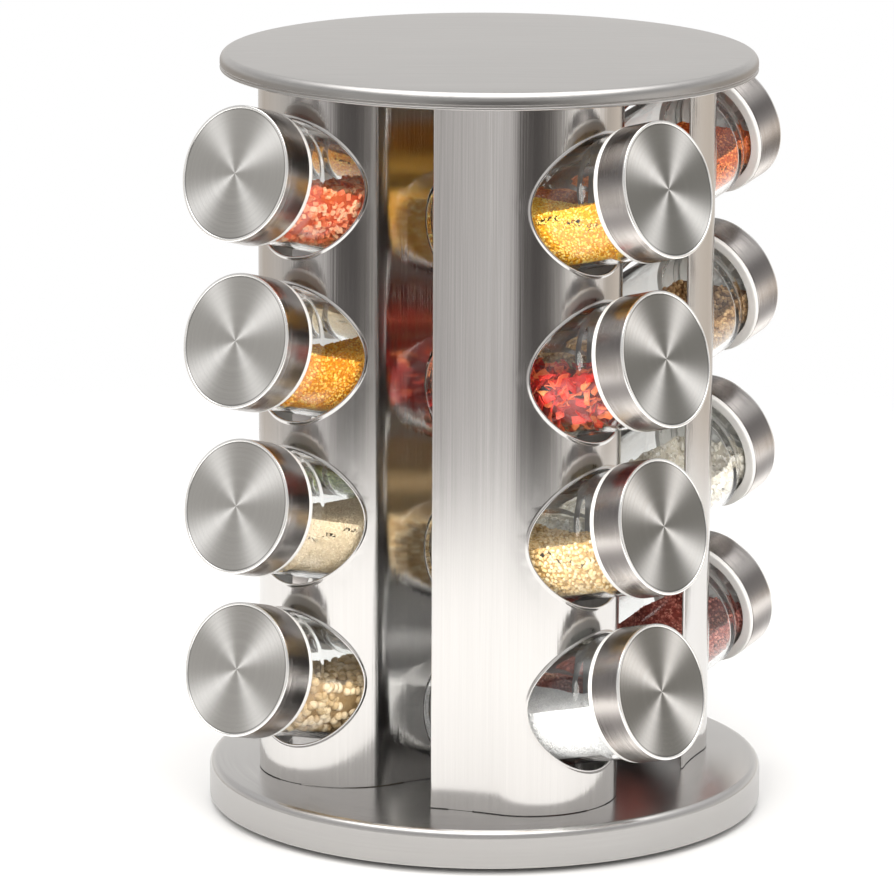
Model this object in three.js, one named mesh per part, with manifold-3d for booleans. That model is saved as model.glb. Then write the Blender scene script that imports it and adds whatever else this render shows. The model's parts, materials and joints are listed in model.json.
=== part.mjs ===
// Revolving spice carousel: a round pan on a swivel foot carries four upright bent-sheet columns
// under one round lid, and every column holds four capped glass jars that lean out of round holes.
// Millimetres, +Z up, origin on the floor under the centre of the foot.

import * as THREE from 'three';
import * as BufferGeometryUtils from 'three/addons/utils/BufferGeometryUtils.js';
import Module from 'manifold-3d';

const wasm = await Module();
wasm.setup();

const { degToRad } = THREE.MathUtils;

// ---- shared fits and facets -------------------------------------------------------------------
const GAP = 0.3; // clearance between pieces that touch
const ROUND_SIDES = 14; // facets round a jar, its cap and its liner
const DISC_SIDES = 48; // facets round the pan and the lid
const RACE_SIDES = 24; // facets round the swivel parts
const HOLE_SIDES = 20; // facets round a jar hole

// ---- overall layout ---------------------------------------------------------------------------
const COLUMN_COUNT = 4;
const ROW_COUNT = 4;
const FIRST_AZIMUTH = degToRad(-39.5); // direction that column 1 faces
const COLUMN_OFFSET = 28.5; // sideways step of every column axis, which makes the pinwheel
const PAN_RADIUS = 100;
const PAN_TOP = 16;
const PLATE_BOTTOM = 268.5; // underside of the plate that closes the lid
const LID_RADIUS = 95.5;
const LID_TOP = 275;

// ---- column section: arcs joined end to end, from the nose out to each free edge ----------------
const SHEET = 1;
const NOSE_REACH = 75; // apex of the nose, measured along the column's own axis
const NOSE_RADIUS = 31.5;
const NOSE_HALF_ANGLE = degToRad(58);
const SHOULDER_RADIUS = 20;
const SHOULDER_ANGLE = degToRad(17);
const LEG_RADIUS = 120; // the legs flare gently outwards
const LONG_LEG = 25.5;
const SHORT_LEG = 18.5;
const NOSE_STEPS = 6;
const SHOULDER_STEPS = 2;
const LEG_STEPS = 2;

// ---- tabs that pass through the pan and the lid plate -------------------------------------------
const TAB_LENGTH = 9;
const TAB_REACH = 1.9; // how far a tab passes the end of the column
const LONG_LEG_TAB = 11; // middle of the tab, back from the free edge
const SHORT_LEG_TAB = 8;

// ---- jars ---------------------------------------------------------------------------------------
const TILT = degToRad(15); // cap end up
const JAR_LENGTH = 95; // from the underside of the glass to the face of the cap
const FACE_REACH = 103.3; // cap face, along the column's axis
const FIRST_ROW_Z = 63.4;
const ROW_PITCH = 59;
const GLASS_RADIUS = 22;
const GLASS_WALL = 2;
const GLASS_FLOOR = 3.4;
const HEEL = 4.5;
const SHOULDER_START = 71;
const NECK_START = 77;
const NECK_RADIUS = 19.4;
const NECK_BORE = 17.2;
const MOUTH = 92.6;
const HOLE_RADIUS = 24.5; // the holes are punched square to the wall
const HOLE_DROP = 1.2; // the jar tips inwards until it meets the upper lip, so the hole sits lower

// ---- caps ---------------------------------------------------------------------------------------
const CAP_RADIUS = 23.8;
const CAP_DEPTH = 12;
const CAP_SHEET = 0.5;
const CAP_BEVEL = 0.6;
const LINER_START = 81;
const LINER_WALL = 3;
const LINER_ROOF = 1.2;

// ---- swivel under the pan -----------------------------------------------------------------------
const FOOT_RING_INNER = 79;
const FOOT_RING_OUTER = 86;
const FOOT_RING_HEIGHT = 2.4;
const FOOT_RADIUS = 90;
const FOOT_TOP = 5.2;
const RACE_RADIUS = 62;
const RACE_BOTTOM = 9.1;
const RACE_PAD_RADIUS = 30; // the pan rests on this pad, inside the ring of tab ends
const RACE_RIM_TOP = 13.8;
const RACE_RECESS_RADIUS = 12;
const RACE_RECESS_FLOOR = 11;
const CAGE_INNER = 50;
const CAGE_OUTER = 58;
const CAGE_HALF_HEIGHT = 1;
const BALL_RADIUS = 1.6;
const BALL_COUNT = 6;
const RIVET_RADIUS = 2.8;
const RIVET_HEAD = 6;
const RIVET_HEAD_HEIGHT = 1.4;
const RIVET_HOLE = 3.2;

// ---- pan and lid sheet --------------------------------------------------------------------------
const PAN_SHEET = 1;
const PAN_FILLET = 3;
const PAN_HEM = 2.4; // height of the pan's lower edge above the floor
const FILLET_STEPS = 2;
const LID_SHEET = 1;
const LID_HEM = 268.2;
const LID_CROWN = 0.8; // the lid's middle stands this much above its rim
const LID_FILLET = 3;
const PLATE_SHEET = 1;
const PLATE_RADIUS = LID_RADIUS - LID_SHEET - 2 * GAP;

const COLUMN_BOTTOM = PAN_TOP + GAP;
const COLUMN_TOP = PLATE_BOTTOM - GAP;

const steel = (name, color, roughness) => new THREE.MeshStandardMaterial({
  name, color, roughness, metalness: 1,
});
const plastic = (name, color, roughness) => new THREE.MeshStandardMaterial({
  name, color, roughness, metalness: 0,
});

const finishes = {
  pan: () => steel('pan_steel', 0xb9b6b2, 0.34),
  column: () => steel('column_steel', 0xa9a5a1, 0.22),
  lid: () => steel('lid_steel', 0xb4b1ad, 0.4),
  cap: () => steel('cap_steel', 0xb0aca7, 0.28),
  glass: () => new THREE.MeshStandardMaterial({
    name: 'clear_glass', color: 0xdfe6e4, roughness: 0.05, metalness: 0, transparent: true, opacity: 0.35,
  }),
  liner: () => plastic('liner_plastic', 0xe4e1dc, 0.45),
  black: () => plastic('black_plastic', 0x17181a, 0.55),
  rubber: () => plastic('foot_rubber', 0x232323, 0.9),
};

// ---- shape helpers ------------------------------------------------------------------------------

/** Leaves only merged positions, so that the mesh is one closed body. */
function weld(geometry) {
  geometry.deleteAttribute('normal');
  geometry.deleteAttribute('uv');
  return BufferGeometryUtils.mergeVertices(geometry, 1e-4);
}

/** Turns a closed profile of [radius, height] points about +Z. */
function revolve(profile, sides) {
  const points = profile.map(([radius, height]) => new THREE.Vector2(radius, height));
  const geometry = new THREE.LatheGeometry(points, sides);
  geometry.rotateX(Math.PI / 2);
  return weld(geometry);
}

/** Pushes a closed outline of [x, y] points from one height to another. */
function prism(outline, bottom, top) {
  const shape = new THREE.Shape(outline.map(([x, y]) => new THREE.Vector2(x, y)));
  const geometry = new THREE.ExtrudeGeometry(shape, { depth: top - bottom, bevelEnabled: false });
  geometry.translate(0, 0, bottom);
  return weld(geometry);
}

/** Reads a closed geometry as a solid that can be joined and cut. */
function toSolid(geometry) {
  const vertProperties = new Float32Array(geometry.attributes.position.array);
  const triVerts = new Uint32Array(geometry.index.array);
  return new wasm.Manifold(new wasm.Mesh({ numProp: 3, vertProperties, triVerts }));
}

/** Gives a cut solid back as a geometry. */
function toGeometry(solid) {
  const mesh = solid.getMesh();
  const geometry = new THREE.BufferGeometry();
  geometry.setAttribute('position', new THREE.Float32BufferAttribute(mesh.vertProperties, 3));
  geometry.setIndex(new THREE.Uint32BufferAttribute(mesh.triVerts, 1));
  return geometry;
}

/** A named mesh with flat facets. */
function piece(name, geometry, material) {
  const flat = geometry.toNonIndexed();
  flat.computeVertexNormals();
  const mesh = new THREE.Mesh(flat, material);
  mesh.name = name;
  return mesh;
}

/** Points of a quarter-round edge, from the flat on top down to the upright wall. */
function filletPoints(radius, top, fillet) {
  const points = [];
  for (let step = 0; step <= FILLET_STEPS; step += 1) {
    const angle = (Math.PI / 2) * (step / FILLET_STEPS);
    points.push([
      radius - fillet + fillet * Math.sin(angle),
      top - fillet + fillet * Math.cos(angle),
    ]);
  }
  return points;
}

// ---- column wall --------------------------------------------------------------------------------

const noseArc = { length: NOSE_RADIUS * NOSE_HALF_ANGLE, curvature: 1 / NOSE_RADIUS, steps: NOSE_STEPS };
const shoulderArc = {
  length: SHOULDER_RADIUS * SHOULDER_ANGLE, curvature: 1 / SHOULDER_RADIUS, steps: SHOULDER_STEPS,
};
const halves = {
  long: [noseArc, shoulderArc, { length: LONG_LEG, curvature: -1 / LEG_RADIUS, steps: LEG_STEPS }],
  short: [noseArc, shoulderArc, { length: SHORT_LEG, curvature: -1 / LEG_RADIUS, steps: LEG_STEPS }],
};
const halfLength = (half) => half.reduce((sum, arc) => sum + arc.length, 0);
const LONG_REACH = halfLength(halves.long);
const SHORT_REACH = halfLength(halves.short);

/** Point and outward normal of the wall's middle surface, a distance along it from the nose's apex.
    Distances below zero run towards the long leg, the others towards the short one. */
function wallStation(distance) {
  const side = Math.sign(distance) || 1;
  const half = distance < 0 ? halves.long : halves.short;
  let left = Math.abs(distance);
  let x = NOSE_REACH - SHEET / 2;
  let y = 0;
  let heading = Math.PI / 2;
  for (const arc of half) {
    const run = Math.min(left, arc.length);
    const turned = heading + run * arc.curvature;
    x += (Math.sin(turned) - Math.sin(heading)) / arc.curvature;
    y -= (Math.cos(turned) - Math.cos(heading)) / arc.curvature;
    heading = turned;
    left -= run;
  }
  return { x, y: side * y, nx: Math.sin(heading), ny: -side * Math.cos(heading) };
}

/** Distances at which the wall between two distances gets a facet edge. */
function wallDistances(start, end) {
  const distances = [start, end];
  for (const [half, side] of [[halves.long, -1], [halves.short, 1]]) {
    let base = 0;
    for (const arc of half) {
      for (let step = 0; step <= arc.steps; step += 1) {
        distances.push(side * (base + (arc.length * step) / arc.steps));
      }
      base += arc.length;
    }
  }
  const inside = distances.filter((value) => value >= start && value <= end).sort((a, b) => a - b);
  return inside.filter((value, index) => index === 0 || value - inside[index - 1] > 0.01);
}

/** Closed outline of a stretch of wall with the given half thickness. */
function wallOutline(start, end, halfThickness) {
  const stations = wallDistances(start, end).map(wallStation);
  const offset = (station, amount) => [station.x + station.nx * amount, station.y + station.ny * amount];
  const outer = stations.map((station) => offset(station, halfThickness));
  const inner = stations.map((station) => offset(station, -halfThickness)).reverse();
  return [...outer, ...inner];
}

const tabMiddles = [-(LONG_REACH - LONG_LEG_TAB), 0, SHORT_REACH - SHORT_LEG_TAB];

/** Tabs, or with extra clearance the slots that they pass through. */
function tabSolids(clearance, bottom, top) {
  const half = TAB_LENGTH / 2 + clearance;
  return tabMiddles.map((middle) => toSolid(
    prism(wallOutline(middle - half, middle + half, SHEET / 2 + clearance), bottom, top),
  ));
}

/** Height of the cap's face in a row, counted from 0 at the bottom. */
const rowHeight = (row) => FIRST_ROW_Z + row * ROW_PITCH;

/** Cutter for one jar hole, in the column's frame. */
function holeCutter(row) {
  const depth = 2 * NOSE_RADIUS;
  const geometry = weld(new THREE.CylinderGeometry(HOLE_RADIUS, HOLE_RADIUS, depth, HOLE_SIDES));
  geometry.rotateZ(Math.PI / 2);
  const back = FACE_REACH - NOSE_REACH;
  geometry.translate(NOSE_REACH, 0, rowHeight(row) - back * Math.tan(TILT) - HOLE_DROP);
  return toSolid(geometry);
}

function columnGeometry() {
  let solid = toSolid(prism(wallOutline(-LONG_REACH, SHORT_REACH, SHEET / 2), COLUMN_BOTTOM, COLUMN_TOP));
  for (const tab of tabSolids(0, COLUMN_BOTTOM - TAB_REACH, COLUMN_TOP + TAB_REACH)) {
    solid = solid.add(tab);
  }
  for (let row = 0; row < ROW_COUNT; row += 1) {
    solid = solid.subtract(holeCutter(row));
  }
  return toGeometry(solid);
}

/** Where a column's own frame stands: turned to its azimuth and stepped sideways. */
function columnMatrix(index) {
  const turn = new THREE.Matrix4().makeRotationZ(FIRST_AZIMUTH + (index * 2 * Math.PI) / COLUMN_COUNT);
  return turn.multiply(new THREE.Matrix4().makeTranslation(0, -COLUMN_OFFSET, 0));
}

/** Cuts every column's tab slots through a round sheet. */
function cutSlots(geometry, bottom, top) {
  let solid = toSolid(geometry);
  for (let index = 0; index < COLUMN_COUNT; index += 1) {
    const { elements } = columnMatrix(index);
    for (const slot of tabSolids(GAP, bottom - SHEET, top + SHEET)) {
      solid = solid.subtract(slot.transform([...elements]));
    }
  }
  return toGeometry(solid);
}

// ---- round sheet parts --------------------------------------------------------------------------

function panGeometry() {
  const inner = PAN_RADIUS - PAN_SHEET;
  const profile = [
    [0, PAN_TOP],
    ...filletPoints(PAN_RADIUS, PAN_TOP, PAN_FILLET),
    [PAN_RADIUS, PAN_HEM],
    [inner, PAN_HEM],
    ...filletPoints(inner, PAN_TOP - PAN_SHEET, PAN_FILLET - PAN_SHEET).reverse(),
    [0, PAN_TOP - PAN_SHEET],
  ];
  return cutSlots(revolve(profile.reverse(), DISC_SIDES), PAN_TOP - PAN_SHEET, PAN_TOP);
}

function plateGeometry() {
  const top = PLATE_BOTTOM + PLATE_SHEET;
  const profile = [[0, PLATE_BOTTOM], [PLATE_RADIUS, PLATE_BOTTOM], [PLATE_RADIUS, top], [0, top]];
  return cutSlots(revolve(profile, DISC_SIDES), PLATE_BOTTOM, top);
}

function lidGeometry() {
  const inner = LID_RADIUS - LID_SHEET;
  const rimTop = LID_TOP - LID_CROWN;
  const profile = [
    [0, LID_TOP],
    ...filletPoints(LID_RADIUS, rimTop, LID_FILLET),
    [LID_RADIUS, LID_HEM],
    [inner, LID_HEM],
    ...filletPoints(inner, rimTop - LID_SHEET, LID_FILLET - LID_SHEET).reverse(),
    [0, LID_TOP - LID_SHEET],
  ];
  return revolve(profile.reverse(), DISC_SIDES);
}

// ---- swivel -------------------------------------------------------------------------------------

const FOOT_BOTTOM = FOOT_RING_HEIGHT + GAP;

function footRingGeometry() {
  return revolve([
    [FOOT_RING_INNER, 0],
    [FOOT_RING_OUTER, 0],
    [FOOT_RING_OUTER, FOOT_RING_HEIGHT],
    [FOOT_RING_INNER, FOOT_RING_HEIGHT],
    [FOOT_RING_INNER, 0],
  ], RACE_SIDES);
}

function footDiscGeometry() {
  return revolve([
    [RIVET_HOLE, FOOT_BOTTOM],
    [FOOT_RADIUS, FOOT_BOTTOM],
    [FOOT_RADIUS, FOOT_TOP],
    [RIVET_HOLE, FOOT_TOP],
    [RIVET_HOLE, FOOT_BOTTOM],
  ], RACE_SIDES);
}

function raceDiscGeometry() {
  const top = PAN_TOP - PAN_SHEET - GAP;
  return revolve([
    [RIVET_HOLE, RACE_BOTTOM],
    [RACE_RADIUS, RACE_BOTTOM],
    [RACE_RADIUS, RACE_RIM_TOP],
    [RACE_PAD_RADIUS, RACE_RIM_TOP],
    [RACE_PAD_RADIUS, top],
    [RACE_RECESS_RADIUS, top],
    [RACE_RECESS_RADIUS, RACE_RECESS_FLOOR],
    [RIVET_HOLE, RACE_RECESS_FLOOR],
    [RIVET_HOLE, RACE_BOTTOM],
  ], RACE_SIDES);
}

function rivetGeometry() {
  const headTop = FOOT_BOTTOM - GAP;
  const upper = RACE_RECESS_FLOOR + GAP;
  return revolve([
    [0, headTop - RIVET_HEAD_HEIGHT],
    [RIVET_HEAD, headTop - RIVET_HEAD_HEIGHT],
    [RIVET_HEAD, headTop],
    [RIVET_RADIUS, headTop],
    [RIVET_RADIUS, upper],
    [RIVET_HEAD, upper],
    [RIVET_HEAD, upper + RIVET_HEAD_HEIGHT],
    [0, upper + RIVET_HEAD_HEIGHT],
  ], ROUND_SIDES);
}

function ballCageGeometry() {
  const middle = (FOOT_TOP + RACE_BOTTOM) / 2;
  const bottom = middle - CAGE_HALF_HEIGHT;
  const top = middle + CAGE_HALF_HEIGHT;
  let solid = toSolid(revolve([
    [CAGE_INNER, bottom],
    [CAGE_OUTER, bottom],
    [CAGE_OUTER, top],
    [CAGE_INNER, top],
    [CAGE_INNER, bottom],
  ], RACE_SIDES));
  const ballCircle = (CAGE_INNER + CAGE_OUTER) / 2;
  for (let index = 0; index < BALL_COUNT; index += 1) {
    const angle = (index * 2 * Math.PI) / BALL_COUNT;
    const ball = weld(new THREE.IcosahedronGeometry(BALL_RADIUS, 1));
    ball.translate(ballCircle * Math.cos(angle), ballCircle * Math.sin(angle), middle);
    solid = solid.add(toSolid(ball));
  }
  return toGeometry(solid);
}

// ---- jar, cap and liner, along +Z from the underside of the glass --------------------------------

function glassGeometry() {
  const bore = GLASS_RADIUS - GLASS_WALL;
  return revolve([
    [0, 0],
    [GLASS_RADIUS - HEEL, 0],
    [GLASS_RADIUS, HEEL],
    [GLASS_RADIUS, SHOULDER_START],
    [NECK_RADIUS, NECK_START],
    [NECK_RADIUS, MOUTH],
    [NECK_BORE, MOUTH],
    [NECK_BORE, NECK_START],
    [bore, SHOULDER_START - GLASS_WALL],
    [bore, HEEL + GLASS_WALL / 2],
    [bore - HEEL / 2, GLASS_FLOOR],
    [0, GLASS_FLOOR],
  ], ROUND_SIDES);
}

function capShellGeometry() {
  const start = JAR_LENGTH - CAP_DEPTH;
  const inner = CAP_RADIUS - CAP_SHEET;
  return revolve([
    [CAP_RADIUS, start],
    [CAP_RADIUS, JAR_LENGTH - CAP_BEVEL],
    [CAP_RADIUS - CAP_BEVEL, JAR_LENGTH],
    [0, JAR_LENGTH],
    [0, JAR_LENGTH - CAP_SHEET],
    [inner, JAR_LENGTH - CAP_SHEET],
    [inner, start],
    [CAP_RADIUS, start],
  ], ROUND_SIDES);
}

function capLinerGeometry() {
  const outer = CAP_RADIUS - CAP_SHEET - GAP;
  const inner = outer - LINER_WALL;
  const top = JAR_LENGTH - CAP_SHEET - GAP;
  return revolve([
    [outer, LINER_START],
    [outer, top],
    [0, top],
    [0, top - LINER_ROOF],
    [inner, top - LINER_ROOF],
    [inner, LINER_START],
    [outer, LINER_START],
  ], ROUND_SIDES);
}

// ---- assembly -----------------------------------------------------------------------------------

const group = new THREE.Group();
group.name = 'spice_carousel';
group.add(
  piece('foot_ring', footRingGeometry(), finishes.rubber()),
  piece('foot_disc', footDiscGeometry(), finishes.black()),
  piece('centre_rivet', rivetGeometry(), finishes.pan()),
  piece('ball_cage', ballCageGeometry(), finishes.black()),
  piece('race_disc', raceDiscGeometry(), finishes.black()),
  piece('base_pan', panGeometry(), finishes.pan()),
  piece('lid_plate', plateGeometry(), finishes.lid()),
  piece('top_lid', lidGeometry(), finishes.lid()),
);

/** One jar with its cap and liner, standing in its own tilted group. */
function jarGroup(column, row) {
  const suffix = `c${column + 1}_r${row + 1}`;
  const jar = new THREE.Group();
  jar.rotation.y = Math.PI / 2 - TILT;
  jar.position.set(
    FACE_REACH - JAR_LENGTH * Math.cos(TILT),
    0,
    rowHeight(row) - JAR_LENGTH * Math.sin(TILT),
  );
  jar.add(
    piece(`jar_${suffix}`, glassGeometry(), finishes.glass()),
    piece(`cap_shell_${suffix}`, capShellGeometry(), finishes.cap()),
    piece(`cap_liner_${suffix}`, capLinerGeometry(), finishes.liner()),
  );
  return jar;
}

for (let column = 0; column < COLUMN_COUNT; column += 1) {
  const frame = new THREE.Group();
  frame.applyMatrix4(columnMatrix(column));
  frame.add(piece(`column_${column + 1}`, columnGeometry(), finishes.column()));
  for (let row = 0; row < ROW_COUNT; row += 1) {
    frame.add(jarGroup(column, row));
  }
  group.add(frame);
}

export default group;
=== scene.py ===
"""Revolving spice carousel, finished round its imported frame.

A round steel pan turns on a hidden swivel foot.  Four upright columns, bent from one sheet each,
stand on it in a pinwheel under one round lid, and every column holds four capped glass jars that
lean out of round holes.  The frame gives every place and every size that a joint depends on; the
classes below build the fine surfaces there and dress them.  Lengths are in metres, +Z is up.
"""

from __future__ import annotations

import json
import logging
import math
from dataclasses import dataclass, field
from enum import Enum
from typing import Callable, Iterable, Sequence, Union

import bmesh
import bpy
from mathutils import Matrix, Vector, noise
from mathutils.geometry import delaunay_2d_cdt


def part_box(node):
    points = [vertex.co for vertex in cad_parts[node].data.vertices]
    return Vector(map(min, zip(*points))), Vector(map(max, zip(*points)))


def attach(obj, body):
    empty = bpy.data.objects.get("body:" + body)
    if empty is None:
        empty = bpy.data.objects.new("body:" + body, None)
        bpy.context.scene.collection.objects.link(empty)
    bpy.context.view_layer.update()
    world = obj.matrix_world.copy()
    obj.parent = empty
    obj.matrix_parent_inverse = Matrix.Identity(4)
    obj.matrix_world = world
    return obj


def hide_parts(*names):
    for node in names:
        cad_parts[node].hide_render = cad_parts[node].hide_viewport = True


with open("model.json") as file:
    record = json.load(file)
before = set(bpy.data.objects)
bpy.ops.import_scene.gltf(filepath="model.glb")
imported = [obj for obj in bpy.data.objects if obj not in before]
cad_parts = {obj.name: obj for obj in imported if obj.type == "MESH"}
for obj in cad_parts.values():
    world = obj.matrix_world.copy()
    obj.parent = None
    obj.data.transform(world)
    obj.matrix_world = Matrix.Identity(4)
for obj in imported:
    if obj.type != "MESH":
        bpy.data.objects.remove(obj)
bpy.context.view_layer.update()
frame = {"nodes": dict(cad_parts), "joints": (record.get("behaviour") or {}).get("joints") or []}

log = logging.getLogger("carousel")

MM = 0.001
OWN_PLACE = "own_place"  # a point's place in its jar's own frame
SPOKE = "spoke"  # the way from a turned piece's axis out to the point
AXLE = "axle"  # the way along a turned piece's axis
INSIDE = "inside"  # 1 on the side of a sheet that faces the middle of the rack
TINT = "tint"  # one number from 0 to 1 for each grain
SMOOTH_ANGLE = math.radians(38)

Colour = tuple[float, float, float]
Value = Union["Signal", float, int, Sequence[float]]


# ---- shader wiring ------------------------------------------------------------------------------


class Signal:
    """One output of a shader node that takes part in Python arithmetic."""

    def __init__(self, graph: "ShaderGraph", socket: bpy.types.NodeSocket) -> None:
        """Keeps the output and the graph that it belongs to."""
        self.graph = graph
        self.socket = socket

    def __add__(self, other: Value) -> "Signal":
        """Sum with a number or another signal."""
        return self.graph.math("ADD", self, other)

    def __radd__(self, other: Value) -> "Signal":
        """Sum, with this signal on the right."""
        return self.graph.math("ADD", other, self)

    def __sub__(self, other: Value) -> "Signal":
        """Difference from a number or another signal."""
        return self.graph.math("SUBTRACT", self, other)

    def __rsub__(self, other: Value) -> "Signal":
        """Difference, with this signal on the right."""
        return self.graph.math("SUBTRACT", other, self)

    def __mul__(self, other: Value) -> "Signal":
        """Product with a number or another signal."""
        return self.graph.math("MULTIPLY", self, other)

    def __rmul__(self, other: Value) -> "Signal":
        """Product, with this signal on the right."""
        return self.graph.math("MULTIPLY", other, self)

    def __truediv__(self, other: Value) -> "Signal":
        """Quotient by a number or another signal."""
        return self.graph.math("DIVIDE", self, other)

    def __pow__(self, other: Value) -> "Signal":
        """Power."""
        return self.graph.math("POWER", self, other)

    def at_least(self, floor: float) -> "Signal":
        """The larger of this signal and a number."""
        return self.graph.math("MAXIMUM", self, floor)


class ShaderGraph:
    """Nodes of one material or world, wired by short Python expressions."""

    def __init__(self, tree: bpy.types.NodeTree) -> None:
        """Empties the tree.

        Args:
            tree: node tree of a material or of the world.
        """
        self.tree = tree
        tree.nodes.clear()

    def node(
        self,
        kind: str,
        inputs: dict[str | int, Value] | None = None,
        output: str | None = None,
        **settings: object,
    ) -> Signal:
        """Adds any node.

        Args:
            kind: the node's type name.
            inputs: numbers or signals for its inputs, by name or by position.
            output: name of the output wanted, or None for the first one.
            **settings: properties set before the inputs; stops are a colour ramp's
                (place, colour) pairs.

        Returns:
            The wanted output.
        """
        made = self.tree.nodes.new(kind)
        for key, value in settings.items():
            if key == "stops":
                self._set_stops(made.color_ramp, value)
            else:
                setattr(made, key, value)
        for key, value in (inputs or {}).items():
            socket = self._find(made.inputs, key)
            if isinstance(value, Signal):
                self.tree.links.new(value.socket, socket)
            else:
                socket.default_value = value
        return Signal(self, self._find(made.outputs, output or 0))

    @staticmethod
    def _find(sockets: Iterable[bpy.types.NodeSocket], key: str | int) -> bpy.types.NodeSocket:
        """The socket at a position among those in use, or with a name."""
        live = [socket for socket in sockets if socket.enabled]
        if isinstance(key, int):
            return live[key]
        return next(socket for socket in live if socket.name == key)

    @staticmethod
    def _set_stops(ramp: bpy.types.ColorRamp, stops: Sequence[tuple[float, Colour]]) -> None:
        """Gives a colour ramp its stops."""
        while len(ramp.elements) < len(stops):
            ramp.elements.new(1.0)
        for element, (place, colour) in zip(ramp.elements, stops):
            element.position = place
            element.color = (*colour, 1.0)

    def math(self, operation: str, *values: Value, clamp: bool = False) -> Signal:
        """A Math node on numbers and signals."""
        return self.node(
            "ShaderNodeMath", dict(enumerate(values)), operation=operation, use_clamp=clamp
        )

    def vector(self, operation: str, *values: Value, output: str | None = None) -> Signal:
        """A Vector Math node."""
        return self.node(
            "ShaderNodeVectorMath", dict(enumerate(values)), output, operation=operation
        )

    def scaled(self, vector: Signal, amount: Value) -> Signal:
        """A vector made longer or shorter."""
        return self.node(
            "ShaderNodeVectorMath", {"Vector": vector, "Scale": amount}, operation="SCALE"
        )

    def smooth(self, value: Signal, start: float, end: float) -> Signal:
        """0 before start and 1 after end, with a soft step between them."""
        return self.node(
            "ShaderNodeMapRange",
            {"Value": value, "From Min": start, "From Max": end},
            interpolation_type="SMOOTHSTEP",
        )

    def mix(self, factor: Value, first: Value, second: Value) -> Signal:
        """A colour between two others."""
        return self.node(
            "ShaderNodeMix", {"Factor": factor, "A": first, "B": second}, data_type="RGBA"
        )

    def noise(self, place: Signal, scale: float, detail: float = 2.0) -> Signal:
        """Soft random values about 0.5."""
        return self.node(
            "ShaderNodeTexNoise", {"Vector": place, "Scale": scale, "Detail": detail}, "Fac"
        )

    def stretched(self, place: Signal, factors: Sequence[float]) -> Signal:
        """A place scaled axis by axis."""
        return self.node("ShaderNodeMapping", {"Vector": place, "Scale": factors})

    def object_place(self) -> Signal:
        """The point in the row frame, as it is at rest."""
        return self.node("ShaderNodeTexCoord", output="Object")

    def attribute(self, name: str, output: str) -> Signal:
        """A named attribute of the piece's own mesh."""
        return self.node("ShaderNodeAttribute", output=output, attribute_name=name)

    def surface(self, **inputs: Value) -> Signal:
        """A Principled shader with its inputs by name, an underscore for each space."""
        named = {key.replace("_", " "): value for key, value in inputs.items()}
        for key, value in named.items():
            if isinstance(value, tuple) and len(value) == 3:
                named[key] = (*value, 1.0)
        return self.node("ShaderNodeBsdfPrincipled", named)

    def close(self, shader: Signal, kind: str = "ShaderNodeOutputMaterial") -> None:
        """Leads a shader to the tree's output."""
        end = self.tree.nodes.new(kind)
        self.tree.links.new(shader.socket, end.inputs["Surface"])


def rgba(colour: Colour) -> tuple[float, float, float, float]:
    """A colour with full opacity."""
    return (*colour, 1.0)


def grey(level: float) -> Colour:
    """A neutral colour."""
    return (level, level, level)


# ---- finishes -----------------------------------------------------------------------------------


class Lines(Enum):
    """Which way the brush ran over a steel surface."""

    UPRIGHT = "upright"
    ACROSS = "across"
    ROUND = "round"


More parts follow.
